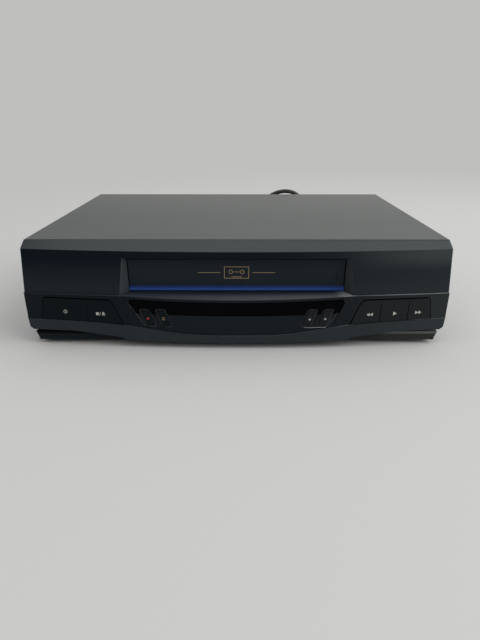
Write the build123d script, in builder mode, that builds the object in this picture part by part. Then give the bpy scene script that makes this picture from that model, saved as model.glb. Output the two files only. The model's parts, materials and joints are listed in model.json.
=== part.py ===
from build123d import *
from math import asin, atan2, cos, degrees, pi, radians, sin, tan
import os

# A front-loading video cassette recorder.
# Millimetres. X runs to the right seen from the front, Y to the back, Z up.
# The origin lies on the ground, below the middle of the case.

os.makedirs("parts", exist_ok=True)

# ---------------------------------------------------------------- sizes

# Case
case_width = 380.0
case_depth = 290.0
case_height = 94.0
foot_height = 4.0
foot_radius = 9.0
foot_inset = 34.0
pan_thickness = 1.6
pan_wall_height = 15.0
cover_sheet = 0.8
cover_bend = 1.1
cover_hem_z = 7.0
cover_flange = 9.0
seam = 0.3
skin_gap = 0.2

# Front moulding
bow_rise = 11.0
band_proud = 1.2
band_top_proud = 0.5
ledge_depth = 1.8
upper_lean = 7.0
chamfer_run = 6.8
crease_drop = 6.8
brow_height = 6.0
apron_z = 5.5
skirt_share = 0.2078
waist_share = 0.468
apron_tuck = 2.2
skirt_run = 45.0
skirt_corner = 4.5
skirt_corner_rise = 3.2
plinth_splay = 12.0
moulding_wall = 2.5
corner_radius = 1.0
least_radius = 0.4
side_step = 1.5
lip_share = 0.1187

# Cassette, a standard size, and the mouth that takes it
cassette_width = 188.0
cassette_height = 25.0
cassette_play = 1.0
hub_pitch = 92.0
hub_to_edge = 61.0
mouth_gap = 2.4
mouth_height = 31.9
door_setback = 3.0
flare = 11.2
ledge_dip = 3.3
tunnel_length = 7.0

# Cassette door
door_thickness = 2.2
door_gap = 0.4
hinge_drop = 2.6
hinge_barrel_radius = 1.8
hinge_pin_radius = 1.3
running_gap = 0.06
hinge_pin_length = 1.8
strip_height = 4.7
strip_proud = 1.1

# Buttons
button_gap = 0.4
button_proud = 0.5
button_depth = 4.0
button_shell = 1.6
button_travel = 0.8
stem_radius = 1.8
oblong_length_share = 0.3425
oblong_width = 7.4
oblong_lean = 20.0
oblong_corner = 1.8
oblong_proud = 1.3
oblong_share = 0.5342
oblong_inner_x = 64.6
oblong_outer_x = 78.8
group_drop = 3.5
group_end_inset = 14.0
group_side_slant = 3.5
group_inner_inset = 5.0
power_share = 0.5724
forward_share = 0.3016
play_share = 0.3378
insert_side_inset = 2.9
insert_taper = 15.6
insert_arch = 2.7
window_share = 0.2352
window_edge_dip = 2.7
band_dip_share = 0.3082
band_spread = 82.0
insert_gap = 0.25
insert_thickness = 2.2
insert_set = 0.2

# Deck
deck_height = 16.0
deck_sheet = 1.2
deck_half = 104.0
deck_start = 20.0
rear_room = 23.4
load_height = 6.4
drum_room = 60.0
drum_to_cassette = 47.0
basket_sheet = 1.0
plate_gap = 0.6
guide_pin_radius = 1.5
slot_play = 0.4
drum_radius = 31.0
drum_tilt = 5.9
reel_radius = 21.0
reel_thickness = 3.8
spindle_height = 16.0
capstan_radius = 1.5
flywheel_radius = 21.0
board_sheet = 1.6

# Rear
socket_length = 8.6
socket_flange = 1.2
aerial_radius = 4.75
phono_radius = 4.15
panel_sheet = 1.2

# Mains lead
cord_diameter = 5.4
grip_length = 24.0

# ---------------------------------------------------------------- places

half_width = case_width / 2
cover_half = half_width - side_step
front_y = -case_depth / 2
band_y = front_y + bow_rise
lower_y = band_y + band_proud
upper_y = lower_y + ledge_depth
crease_y = upper_y + upper_lean
cover_y = crease_y + chamfer_run
door_y = upper_y + door_setback
rear_y = case_depth / 2 - socket_length
crease_z = case_height - crease_drop
mouth_top = crease_z - brow_height
split_z = mouth_top - mouth_height
fascia_height = split_z - apron_z
skirt_z = apron_z + skirt_share * fascia_height
waist_z = apron_z + waist_share * fascia_height
lip_depth = lip_share * fascia_height
window_height = window_share * fascia_height
band_dip = band_dip_share * fascia_height
oblong_z = apron_z + oblong_share * fascia_height
oblong_length = oblong_length_share * fascia_height
mouth_half = cassette_width / 2 + mouth_gap
tunnel_back = door_y + tunnel_length
pan_half = cover_half - cover_sheet - skin_gap
pan_floor = foot_height + pan_thickness
deck_z = foot_height + deck_height
deck_top = deck_z + deck_sheet
hinge_y = door_y + door_thickness
hinge_z = mouth_top - hinge_drop
far = 30.0
group_top = split_z - group_drop
group_outer_low = half_width - group_end_inset
group_outer_top = group_outer_low - group_side_slant
group_inner_low = mouth_half + group_inner_inset
group_width = group_outer_low - group_inner_low
power_split_x = group_outer_low - power_share * group_width
forward_split_x = group_outer_low - forward_share * group_width
play_split_x = forward_split_x - play_share * group_width
insert_top_z = split_z - lip_depth
insert_top_half = mouth_half - insert_side_inset
insert_low_half = insert_top_half - insert_taper + 2.0


# ---------------------------------------------------------------- front moulding

def bow_at(x, side_y):
    # Where the bowed front lies at a distance x from the middle.
    return side_y - bow_rise * (1 - (x / half_width) ** 2)


def bowed_zone(low, high, inset=0.0):
    # The front between two levels. A level is its z, half width, side y and bow.
    with BuildPart() as zone:
        for z, half, side_y, bow in (low, high):
            with BuildSketch(Plane.XY.offset(z)) as plan:
                with BuildLine():
                    left = (-half + inset, side_y + inset)
                    right = (half - inset, side_y + inset)
                    back = cover_y + far
                    Polyline(left, (left[0], back), (right[0], back), right)
                    if bow > 0:
                        ThreePointArc(left, (0, side_y + inset - bow), right)
                    else:
                        Line(left, right)
                make_face()
                fillet(plan.vertices().sort_by(Axis.Y)[:2], max(corner_radius - inset, least_radius))
        loft(ruled=True)
    return zone.part


def mouth_shape(grow, back_y):
    # The flared way to the door, grown on all sides by a wall, down to back_y.
    low = split_z - grow
    high = mouth_top + grow
    flare_half = mouth_half + flare + grow
    mouth_front = front_y - 1.0
    with BuildPart() as mouth:
        with BuildSketch(Plane.XZ.offset(-back_y)):
            with BuildLine():
                Polyline(
                    (-mouth_half - grow, low), (-mouth_half - grow, high),
                    (mouth_half + grow, high), (mouth_half + grow, low), close=True,
                )
            make_face()
        extrude(amount=back_y - door_y)
        with BuildSketch(Plane.XZ.offset(-door_y)):
            with BuildLine():
                Polyline(
                    (-mouth_half - grow, low), (-mouth_half - grow, high),
                    (mouth_half + grow, high), (mouth_half + grow, low), close=True,
                )
            make_face()
        with BuildSketch(Plane.XZ.offset(-mouth_front)):
            with BuildLine():
                Polyline(
                    (-flare_half, low), (-flare_half, high),
                    (flare_half, high), (flare_half, low),
                )
                ThreePointArc((-flare_half, low), (0, low - ledge_dip), (flare_half, low))
            make_face()
        loft(ruled=True)
    return mouth.part


def face_prism(outline, front, back):
    # A flat front-view outline run through the front from one y to another.
    with BuildPart() as prism:
        with BuildSketch(Plane.XZ.offset(-back)):
            add(outline)
        extrude(amount=back - front)
    return prism.part


def band_line(x):
    # Height of the lower band's smile-shaped upper edge, flat at the ends.
    return waist_z - band_dip / (1 + (x / band_spread) ** 4)


def below_band(lift=0.0):
    # Everything below the upper edge of the lower band, raised by lift.
    stations = (0, 30, 57, 80, 102, 135, half_width + far)
    right = [(x, band_line(x) + lift) for x in stations]
    left = [(-x, z) for x, z in reversed(right[1:])]
    with BuildSketch() as region:
        with BuildLine():
            Spline(*left, *right, tangents=[(1, 0), (1, 0)])
            Polyline(right[-1], (right[-1][0], -far), (-right[-1][0], -far), left[0])
        make_face()
    return region.sketch_local


def below_apron():
    # Everything below the moulding's lower edge, which rises in steps to both ends.
    step_x = mouth_half + 2.0
    edge = [
        (half_width - skirt_corner + far, skirt_z + skirt_corner_rise * far / skirt_corner),
        (half_width - skirt_corner, skirt_z), (half_width - skirt_run, skirt_z),
        (step_x + 6, skirt_z - 4.8), (step_x, apron_z + 1.5),
    ]
    with BuildSketch() as region:
        with BuildLine():
            Polyline(*edge)
            ThreePointArc(edge[-1], (0, apron_z), (-step_x, edge[-1][1]))
            Polyline(
                *[(-x, z) for x, z in reversed(edge)],
                (-edge[0][0], -far), (edge[0][0], -far), edge[0],
            )
        make_face()
    return region.sketch_local


def insert_outline(inset=0.0):
    # Trapezoid between the two groups of buttons, with an arched top under the lip.
    shoulder_z = insert_top_z + insert_arch
    with BuildSketch() as outline:
        with BuildLine():
            Polyline(
                (-insert_top_half, shoulder_z), (-insert_top_half - 2.0, shoulder_z - 3.8),
                (-insert_low_half, pan_floor), (insert_low_half, pan_floor),
                (insert_top_half + 2.0, shoulder_z - 3.8), (insert_top_half, shoulder_z),
            )
            ThreePointArc(
                (insert_top_half, shoulder_z), (0, insert_top_z),
                (-insert_top_half, shoulder_z),
            )
        make_face()
        if inset:
            offset(amount=-inset, mode=Mode.REPLACE)
    return outline.sketch_local


def window_region():
    # Everything above the lower edge of the display window.
    edge_z = split_z - lip_depth - window_height
    with BuildSketch() as region:
        with BuildLine():
            ThreePointArc(
                (-half_width, edge_z + 2 * window_edge_dip), (0, edge_z - window_edge_dip),
                (half_width, edge_z + 2 * window_edge_dip),
            )
            Polyline(
                (half_width, edge_z + 2 * window_edge_dip), (half_width, case_height),
                (-half_width, case_height), (-half_width, edge_z + 2 * window_edge_dip),
            )
        make_face()
    return region.sketch_local


def group_outline(side, inset=0.0, from_x=0.0, to_x=half_width):
    # A group of buttons on the right (side 1) or the left (-1), or its part from x to x.
    corners = [
        (group_inner_low, apron_z), (group_inner_low, waist_z - 4.4),
        (group_inner_low + 8.0, group_top - 3.6), (group_inner_low + 11.8, group_top - 0.7),
        (group_outer_top, group_top), (group_outer_low, waist_z - 0.4),
        (group_outer_low, apron_z),
    ]
    with BuildSketch() as outline:
        with BuildLine():
            Polyline(*[(side * x, z) for x, z in corners], close=True)
        make_face()
        if inset:
            offset(amount=-inset, kind=Kind.INTERSECTION, mode=Mode.REPLACE)
        with Locations((side * (from_x + to_x) / 2, split_z)):
            Rectangle(to_x - from_x, 2 * case_height, mode=Mode.INTERSECT)
    return outline.sketch_local


def oblong_outline(x, side, grow=0.0):
    # One of the four push buttons of the insert, which lean outwards at the top.
    half_length = oblong_length / 2
    lean_run = side * half_length * tan(radians(oblong_lean))
    top_x, low_x = side * x + lean_run, side * x - lean_run
    with BuildSketch() as outline:
        with BuildLine():
            Polyline(
                (top_x - oblong_width / 2, oblong_z + half_length),
                (top_x + oblong_width / 2, oblong_z + half_length),
                (low_x + oblong_width / 2, oblong_z - half_length),
                (low_x - oblong_width / 2, oblong_z - half_length), close=True,
            )
        make_face()
        fillet(outline.vertices(), oblong_corner)
        if grow:
            offset(amount=grow, mode=Mode.REPLACE)
    return outline.sketch_local


oblongs = {
    "record_button": (oblong_outer_x, -1), "source_button": (oblong_inner_x, -1),
    "channel_down_button": (oblong_inner_x, 1), "channel_up_button": (oblong_outer_x, 1),
}

split_level = (split_z, half_width, upper_y, bow_rise)
crease_level = (crease_z, half_width, crease_y, bow_rise)
top_level = (case_height - seam, cover_half, cover_y, 0.0)
lower_level = (split_z, half_width, lower_y, bow_rise)
waist_level = (waist_z, half_width, lower_y, bow_rise)
apron_level = (apron_z - 1.0, half_width - apron_tuck, lower_y + band_proud, bow_rise)
band_top_level = (waist_z, half_width, lower_y - band_top_proud, bow_rise)
band_low_level = (apron_z - 1.0, half_width - apron_tuck, band_y, bow_rise)
cavity_lip_level = (split_z - lip_depth, half_width, lower_y, bow_rise)

front_limit = front_y - far
moulding_back = cover_y - seam

# Upper half of the front, round the mouth, with a sloping shoulder up to the cover
with BuildPart() as upper_cavity:
    add(bowed_zone(split_level, (crease_z - 1.5, half_width, crease_y, bow_rise), moulding_wall))
    add(bowed_zone((crease_z - 1.5, half_width, crease_y, bow_rise),
                   (case_height - seam - moulding_wall, cover_half, cover_y, 0.0), moulding_wall))
    add(mouth_shape(moulding_wall, tunnel_back), mode=Mode.SUBTRACT)

with BuildPart() as upper_front:
    add(bowed_zone(split_level, crease_level))
    add(bowed_zone(crease_level, top_level))
    add(upper_cavity.part, mode=Mode.SUBTRACT)
    add(mouth_shape(0.0, tunnel_back + 1.0), mode=Mode.SUBTRACT)
    split(bisect_by=Plane.XZ.offset(-moulding_back), keep=Keep.TOP)
    for side in (-1, 1):
        with BuildSketch(Plane.YZ.offset(side * mouth_half)):
            with Locations((hinge_y, hinge_z)):
                Circle(hinge_pin_radius + running_gap)
        extrude(amount=side * (hinge_pin_length + seam), mode=Mode.SUBTRACT)
upper_front.part.label = "upper_front"
export_step(upper_front.part, "parts/upper_front.step")

# Lower half of the front, with the sill of the mouth, openings for the buttons and
# the display, and the band that stands proud below them
with BuildPart() as lower_cavity:
    add(bowed_zone(apron_level, waist_level, moulding_wall))
    add(bowed_zone(waist_level, cavity_lip_level, moulding_wall))
    with BuildSketch(Plane.XY.offset(apron_z)):
        with Locations((0, tunnel_back)):
            Rectangle(
                case_width - 2 * moulding_wall, far, align=(Align.CENTER, Align.MIN)
            )
    extrude(amount=split_z)

with BuildPart() as band:
    add(bowed_zone(band_low_level, band_top_level))
    add(lower_cavity.part, mode=Mode.SUBTRACT)
    add(face_prism(below_band(), front_limit, 0.0), mode=Mode.INTERSECT)

with BuildPart() as lower_front:
    add(bowed_zone(apron_level, waist_level))
    add(bowed_zone(waist_level, lower_level))
    add(lower_cavity.part, mode=Mode.SUBTRACT)
    add(mouth_shape(0.0, tunnel_back + 1.0), mode=Mode.SUBTRACT)
    for side in (-1, 1):
        add(face_prism(group_outline(side), front_limit, cover_y), mode=Mode.SUBTRACT)
    add(face_prism(insert_outline(), front_limit, cover_y), mode=Mode.SUBTRACT)
    add(band.part)
    add(face_prism(below_apron(), front_limit, 0.0), mode=Mode.SUBTRACT)
    split(bisect_by=Plane.XZ.offset(-moulding_back), keep=Keep.TOP)
lower_front.part.label = "lower_front"
export_step(lower_front.part, "parts/lower_front.step")

# ---------------------------------------------------------------- door

door_half = mouth_half - door_gap
door_low = split_z + door_gap

# Flap over the mouth, hung on two stub pins at its upper edge
with BuildPart() as cassette_door:
    with BuildSketch(Plane.YZ.offset(-door_half)):
        with Locations((door_y, door_low)):
            Rectangle(door_thickness, hinge_z - door_low, align=(Align.MIN, Align.MIN))
        with Locations((hinge_y, hinge_z)):
            Circle(hinge_barrel_radius)
    extrude(amount=2 * door_half)
    for side in (-1, 1):
        with BuildSketch(Plane.YZ.offset(side * door_half)):
            with Locations((hinge_y, hinge_z)):
                Circle(hinge_pin_radius)
        extrude(amount=side * (door_gap + hinge_pin_length))
cassette_door.part.label = "cassette_door"
export_step(cassette_door.part, "parts/cassette_door.step")

# Rounded strip along the foot of the door
strip_low = door_low + door_gap
with BuildPart() as door_strip:
    with BuildSketch(Plane.YZ.offset(-door_half)):
        with BuildLine():
            Line((door_y, strip_low), (door_y, strip_low + strip_height))
            ThreePointArc(
                (door_y, strip_low + strip_height),
                (door_y - strip_proud, strip_low + strip_height / 2),
                (door_y, strip_low),
            )
        make_face()
    extrude(amount=2 * door_half)
door_strip.part.label = "door_strip"
export_step(door_strip.part, "parts/door_strip.step")

# ---------------------------------------------------------------- display and insert

insert_y = lower_y + insert_set
insert_face = (insert_y, insert_y + insert_thickness)


def insert_piece(above_edge):
    # The insert is a bowed plate in two pieces, the window above and the trim below.
    with BuildPart() as plate:
        add(face_prism(insert_outline(insert_gap), front_limit, lower_y))
        add(bowed_zone((apron_z, half_width, insert_face[0], bow_rise),
                       (split_z, half_width, insert_face[0], bow_rise)), mode=Mode.INTERSECT)
        add(bowed_zone((apron_z - 1, half_width, insert_face[1], bow_rise),
                       (split_z + 1, half_width, insert_face[1], bow_rise)),
            mode=Mode.SUBTRACT)
        add(face_prism(below_band(insert_gap), front_limit, lower_y), mode=Mode.SUBTRACT)
        add(face_prism(window_region(), front_limit, lower_y),
            mode=Mode.INTERSECT if above_edge else Mode.SUBTRACT)
        for x, side in oblongs.values():
            add(face_prism(oblong_outline(x, side, button_gap), front_limit, lower_y),
                mode=Mode.SUBTRACT)
    return plate


display_window = insert_piece(True)
display_window.part.label = "display_window"
export_step(display_window.part, "parts/display_window.step")

centre_trim = insert_piece(False)
centre_trim.part.label = "centre_trim"
export_step(centre_trim.part, "parts/centre_trim.step")

# ---------------------------------------------------------------- buttons

board_y = cover_y - seam - board_sheet
switch_body = 6.0
switch_height = 3.5
switch_plunger = 1.4
switch_tip_y = board_y - switch_height - switch_plunger
stem_end_y = switch_tip_y - button_travel - skin_gap
switch_z = (group_top + waist_z) / 2

group_buttons = {
    "power_button": (-1, power_split_x, half_width),
    "stop_eject_button": (-1, 0.0, power_split_x),
    "rewind_button": (1, 0.0, play_split_x),
    "play_button": (1, play_split_x, forward_split_x),
    "fast_forward_button": (1, forward_split_x, half_width),
}


def cap_of(outline, proud, back_y, lift):
    # The stretch of a button's prism that lies behind the bowed front, above the band.
    with BuildPart() as cap:
        add(face_prism(outline, front_limit, back_y))
        add(bowed_zone((apron_z, half_width, lower_y - proud, bow_rise),
                       (split_z, half_width, lower_y - proud, bow_rise)),
            mode=Mode.INTERSECT)
        add(face_prism(below_band(lift), front_limit, back_y), mode=Mode.SUBTRACT)
    return cap.part


switch_places = []
for label, (side, from_x, to_x) in group_buttons.items():
    inner_x = max(from_x, group_inner_low + 8.0)
    outer_x = min(to_x, group_outer_low)
    stem_x = side * (inner_x + outer_x) / 2
    back_y = bow_at(outer_x, lower_y) + button_depth
    play = button_gap / 2
    with BuildPart() as key:
        add(cap_of(group_outline(side, button_gap, from_x + play, to_x - play),
                   button_proud, back_y, button_gap))
        add(cap_of(group_outline(side, button_gap + button_shell, from_x + play + button_shell,
                                 to_x - play - button_shell),
                   -button_shell, back_y, button_gap + button_shell), mode=Mode.SUBTRACT)
        with BuildSketch(Plane.XZ.offset(-stem_end_y)):
            with Locations((stem_x, switch_z)):
                Circle(stem_radius)
        extrude(amount=stem_end_y - bow_at(stem_x, lower_y) - button_shell / 2)
    key.part.label = label
    export_step(key.part, f"parts/{label}.step")
    switch_places.append((stem_x, switch_z))

for label, (x, side) in oblongs.items():
    back_y = bow_at(x, lower_y) + button_depth
    with BuildPart() as key:
        add(cap_of(oblong_outline(x, side), oblong_proud, back_y, button_gap))
        with BuildSketch(Plane.XZ.offset(-stem_end_y)):
            with Locations((side * x, oblong_z)):
                Circle(stem_radius)
        extrude(amount=stem_end_y - back_y)
    key.part.label = label
    export_step(key.part, f"parts/{label}.step")
    switch_places.append((side * x, oblong_z))

# ---------------------------------------------------------------- front board

front_board_half = group_outer_low
front_board_top = split_z - moulding_wall
with BuildPart() as front_circuit_board:
    with BuildSketch(Plane.XZ.offset(-board_y)):
        with Locations((0, pan_floor)):
            Rectangle(2 * front_board_half, front_board_top - pan_floor,
                      align=(Align.CENTER, Align.MIN))
    extrude(amount=-board_sheet)
front_circuit_board.part.label = "front_circuit_board"
export_step(front_circuit_board.part, "parts/front_circuit_board.step")

# One push switch behind each button
with BuildPart() as push_switches:
    with BuildSketch(Plane.XZ.offset(-board_y)):
        with Locations(*switch_places):
            Rectangle(switch_body, switch_body)
    extrude(amount=switch_height)
    with BuildSketch(Plane.XZ.offset(switch_height - board_y)):
        with Locations(*switch_places):
            Circle(stem_radius)
    extrude(amount=switch_plunger)
push_switches.part.label = "push_switches"
export_step(push_switches.part, "parts/push_switches.step")

# Glass display tube on its holder, close behind the window
tube_half = 46.0
tube_height = 13.0
tube_depth = 6.0
tube_front = bow_at(tube_half, insert_face[1]) + 1.0
tube_z = split_z - lip_depth - tube_height
with BuildPart() as display_tube:
    with BuildSketch(Plane.XZ.offset(-tube_front)):
        with Locations((0, tube_z)):
            Rectangle(2 * tube_half, tube_height, align=(Align.CENTER, Align.MIN))
    extrude(amount=-tube_depth)
    fillet(display_tube.edges().filter_by(Axis.Z), 1.0)
display_tube.part.label = "display_tube"
export_step(display_tube.part, "parts/display_tube.step")

# Frame that carries the tube on the board
with BuildPart() as display_holder:
    with BuildSketch(Plane.XZ.offset(-board_y)):
        with Locations((0, tube_z - 1.5)):
            Rectangle(2 * tube_half + 4, tube_height + 1.2, align=(Align.CENTER, Align.MIN))
        with Locations((0, tube_z + tube_height / 2)):
            Rectangle(2 * tube_half - 8, tube_height - 5, mode=Mode.SUBTRACT)
    extrude(amount=board_y - tube_front - tube_depth)
display_holder.part.label = "display_holder"
export_step(display_holder.part, "parts/display_holder.step")

# ---------------------------------------------------------------- case

# Base pan with the straight plinth under the front, walls, posts for the deck and boards
plinth_y = door_y - 5.4
plinth_half = pan_half - 5.5
plinth_top = skirt_z - 1.6
pan_back = rear_y - cover_sheet - skin_gap
post_radius = 4.0
post_x = deck_half - 8.0
deck_front = door_y + deck_start
deck_back = pan_back - rear_room
post_places = [(x, y) for x in (-post_x, post_x) for y in (deck_front + 8, deck_back - 8)]
standoff_radius = 3.0
standoff_height = 5.0
main_board_z = pan_floor + standoff_height
main_board_front = deck_front
main_board_back = pan_back - panel_sheet - 4.0
main_board_left = pan_half - 6.0
main_board_right = deck_half - 2.0
standoff_places = [
    (x, y)
    for x in (-main_board_left + 8, main_board_right - 28, main_board_right + 16, pan_half - 16)
    for y in (main_board_front + 40, main_board_back - 8)
]
vent_pitch = 7.0
vent_length = 34.0
vent_width = 3.0
vent_x = deck_half + 40.0
vent_y = deck_back - 90.0

with BuildPart() as base_pan:
    with BuildSketch(Plane.XY.offset(foot_height)):
        with Locations((0, moulding_back)):
            Rectangle(2 * pan_half, pan_back - moulding_back, align=(Align.CENTER, Align.MIN))
        with Locations((0, plinth_y)):
            Rectangle(2 * plinth_half, moulding_back - plinth_y, align=(Align.CENTER, Align.MIN))
        with Locations((vent_x, vent_y), (-vent_x, vent_y)):
            with GridLocations(vent_pitch, vent_length + 8, 7, 2):
                SlotOverall(vent_length, vent_width, rotation=90, mode=Mode.SUBTRACT)
    extrude(amount=pan_thickness)
    with BuildSketch(Plane.XY.offset(pan_floor)):
        for side in (-1, 1):
            with Locations((side * (pan_half - pan_thickness / 2), moulding_back)):
                Rectangle(pan_thickness, pan_back - panel_sheet - seam - moulding_back,
                          align=(Align.CENTER, Align.MIN))
    extrude(amount=pan_wall_height)
    with BuildSketch(Plane.XY.offset(pan_floor)):
        with Locations((0, plinth_y)):
            Rectangle(2 * plinth_half, 2.0, align=(Align.CENTER, Align.MIN))
    extrude(amount=plinth_top - pan_floor, taper=-plinth_splay)
    with BuildSketch(Plane.XY.offset(pan_floor)):
        with Locations(*post_places):
            Circle(post_radius)
    extrude(amount=deck_z - pan_floor)
    with BuildSketch(Plane.XY.offset(pan_floor)):
        with Locations(*standoff_places):
            Circle(standoff_radius)
    extrude(amount=standoff_height)
base_pan.part.label = "base_pan"
export_step(base_pan.part, "parts/base_pan.step")

# Four rubber feet
with BuildPart() as rubber_feet:
    with BuildSketch(Plane.XY.offset(foot_height)):
        with Locations((0, (pan_back + moulding_back) / 2)):
            with GridLocations(case_width - 2 * foot_inset,
                               pan_back - moulding_back - 2 * foot_inset, 2, 2):
                Circle(foot_radius)
    extrude(amount=-foot_height, taper=8)
rubber_feet.part.label = "rubber_feet"
export_step(rubber_feet.part, "parts/rubber_feet.step")

# Folded sheet cover: top, two sides and a flange turned down over the rear panel
with BuildPart() as top_cover:
    with BuildSketch(Plane.XZ.offset(-rear_y)) as shell:
        with Locations((0, cover_hem_z)):
            Rectangle(2 * cover_half, case_height - cover_hem_z,
                      align=(Align.CENTER, Align.MIN))
        fillet(shell.vertices().group_by(Axis.Y)[-1], cover_bend)
        with Locations((0, cover_hem_z - 1)):
            Rectangle(2 * (cover_half - cover_sheet), case_height - cover_hem_z + 1 - cover_sheet,
                      align=(Align.CENTER, Align.MIN), mode=Mode.SUBTRACT)
    extrude(amount=rear_y - cover_y)
    with BuildSketch(Plane.XZ.offset(-rear_y)):
        with Locations((0, case_height - cover_sheet / 2)):
            Rectangle(2 * (cover_half - cover_bend), cover_flange,
                      align=(Align.CENTER, Align.MAX))
    extrude(amount=cover_sheet)
top_cover.part.label = "top_cover"
export_step(top_cover.part, "parts/top_cover.step")

# Screws in the sides and the rear flange
screw_radius = 3.6
screw_head = 1.3
side_screw_z = pan_floor + pan_wall_height - 6.0
side_screw_y = (moulding_back + 60.0, pan_back - 45.0)
rear_screw_x = cover_half - 12.0
rear_screw_z = case_height - cover_flange / 2
with BuildPart() as cover_screws:
    for side in (-1, 1):
        with BuildSketch(Plane.YZ.offset(side * cover_half)):
            with Locations(*[(y, side_screw_z) for y in side_screw_y]):
                Circle(screw_radius)
        extrude(amount=side * screw_head, taper=20)
    with BuildSketch(Plane.XZ.offset(-rear_y)):
        with Locations((-rear_screw_x, rear_screw_z), (rear_screw_x, rear_screw_z)):
            Circle(screw_radius)
    extrude(amount=-screw_head, taper=20)
cover_screws.part.label = "cover_screws"
export_step(cover_screws.part, "parts/cover_screws.step")

# ---------------------------------------------------------------- rear

socket_y = pan_back + socket_flange
socket_barrel = case_depth / 2 - socket_y
aerial_places = [(-pan_half + 34.0, 24.0), (-pan_half + 34.0, 44.0)]
phono_pitch = 16.0
phono_block_x = aerial_places[0][0] + 71.5
phono_block_z = 32.0
phono_block_width = 40.0
phono_block_height = 38.0
grip_x = pan_half - 65.5
grip_z = 26.0
grip_radius = 4.6
panel_y = pan_back - panel_sheet
panel_top = case_height - cover_sheet - seam

# Sheet panel that closes the back, with openings for the sockets and the mains lead
with BuildPart() as rear_panel:
    with BuildSketch(Plane.XZ.offset(-pan_back)):
        with Locations((0, pan_floor)):
            Rectangle(2 * pan_half, panel_top - pan_floor, align=(Align.CENTER, Align.MIN))
        with Locations(*aerial_places):
            Circle(aerial_radius + skin_gap, mode=Mode.SUBTRACT)
        with Locations((phono_block_x, phono_block_z)):
            Rectangle(phono_block_width + 1, phono_block_height + 1, mode=Mode.SUBTRACT)
        with Locations((grip_x, grip_z)):
            Circle(grip_radius + skin_gap, mode=Mode.SUBTRACT)
    extrude(amount=panel_sheet)
rear_panel.part.label = "rear_panel"
export_step(rear_panel.part, "parts/rear_panel.step")

# Tuner: a screened can on the main board
tuner_width = 62.0
tuner_depth = 24.0
main_board_top = main_board_z + board_sheet
with BuildPart() as tuner:
    with BuildSketch(Plane.XY.offset(main_board_top)):
        with Locations((aerial_places[0][0], panel_y - skin_gap)):
            Rectangle(tuner_width, tuner_depth, align=(Align.CENTER, Align.MAX))
    extrude(amount=aerial_places[1][1] + 10 - main_board_top)
    fillet(tuner.edges().filter_by(Axis.Z), 1.0)
tuner.part.label = "tuner"
export_step(tuner.part, "parts/tuner.step")

# Two screw-on aerial sockets
with BuildPart() as aerial_sockets:
    with BuildSketch(Plane.XZ.offset(-(panel_y - skin_gap))):
        with Locations(*aerial_places):
            Circle(aerial_radius)
    extrude(amount=-(pan_back + skin_gap - panel_y + skin_gap))
    with BuildSketch(Plane.XZ.offset(-pan_back)):
        with Locations(*aerial_places):
            Circle(aerial_radius + 2)
    extrude(amount=-socket_flange)
    with BuildSketch(Plane.XZ.offset(-socket_y)):
        with Locations(*aerial_places):
            Circle(aerial_radius)
            Circle(aerial_radius - 3.6, mode=Mode.SUBTRACT)
    extrude(amount=-socket_barrel)
aerial_sockets.part.label = "aerial_sockets"
export_step(aerial_sockets.part, "parts/aerial_sockets.step")

# Picture and sound sockets on their moulded block
with BuildPart() as phono_sockets:
    with BuildSketch(Plane.XZ.offset(-pan_back)):
        with Locations((phono_block_x, phono_block_z)):
            Rectangle(phono_block_width, phono_block_height)
    extrude(amount=14.0)
    with BuildSketch(Plane.XZ.offset(-pan_back)):
        with Locations((phono_block_x, phono_block_z)):
            with GridLocations(phono_pitch, phono_pitch, 2, 2):
                Circle(phono_radius + 1.6)
    extrude(amount=-socket_flange)
    with BuildSketch(Plane.XZ.offset(-socket_y)):
        with Locations((phono_block_x, phono_block_z)):
            with GridLocations(phono_pitch, phono_pitch, 2, 2):
                Circle(phono_radius)
                Circle(phono_radius - 2.4, mode=Mode.SUBTRACT)
    extrude(amount=-socket_barrel)
phono_sockets.part.label = "phono_sockets"
export_step(phono_sockets.part, "parts/phono_sockets.step")

# Rubber grip where the mains lead leaves the panel
with BuildPart() as cord_grip:
    with BuildSketch(Plane.XZ.offset(-(pan_back + 1.5))):
        with Locations((grip_x, grip_z)):
            Circle(grip_radius + 2)
    extrude(amount=1.5)
    with BuildSketch(Plane.XZ.offset(-pan_back)):
        with Locations((grip_x, grip_z)):
            Circle(grip_radius)
    extrude(amount=panel_sheet + 5)
    with BuildSketch(Plane.XZ.offset(-(pan_back + 1.5))):
        with Locations((grip_x, grip_z)):
            Circle(grip_radius)
    extrude(amount=-(grip_length - 1.5), taper=2.5)
cord_grip.part.label = "cord_grip"
export_step(cord_grip.part, "parts/cord_grip.step")

# ---------------------------------------------------------------- boards and supply

# Main board under the deck and the left side, clear of the deck's posts
with BuildPart() as main_circuit_board:
    with BuildSketch(Plane.XY.offset(main_board_z)):
        with Locations((-main_board_left, main_board_front)):
            Rectangle(main_board_left + main_board_right, main_board_back - main_board_front,
                      align=(Align.MIN, Align.MIN))
        with Locations(*post_places):
            Circle(post_radius + 1, mode=Mode.SUBTRACT)
    extrude(amount=board_sheet)
main_circuit_board.part.label = "main_circuit_board"
export_step(main_circuit_board.part, "parts/main_circuit_board.step")

supply_left = main_board_right + 6.0
supply_right = pan_half - 6.0
supply_front = main_board_front + 20.0
with BuildPart() as supply_board:
    with BuildSketch(Plane.XY.offset(main_board_z)):
        with Locations((supply_left, supply_front)):
            Rectangle(supply_right - supply_left, main_board_back - supply_front,
                      align=(Align.MIN, Align.MIN))
    extrude(amount=board_sheet)
supply_board.part.label = "supply_board"
export_step(supply_board.part, "parts/supply_board.step")

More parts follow.
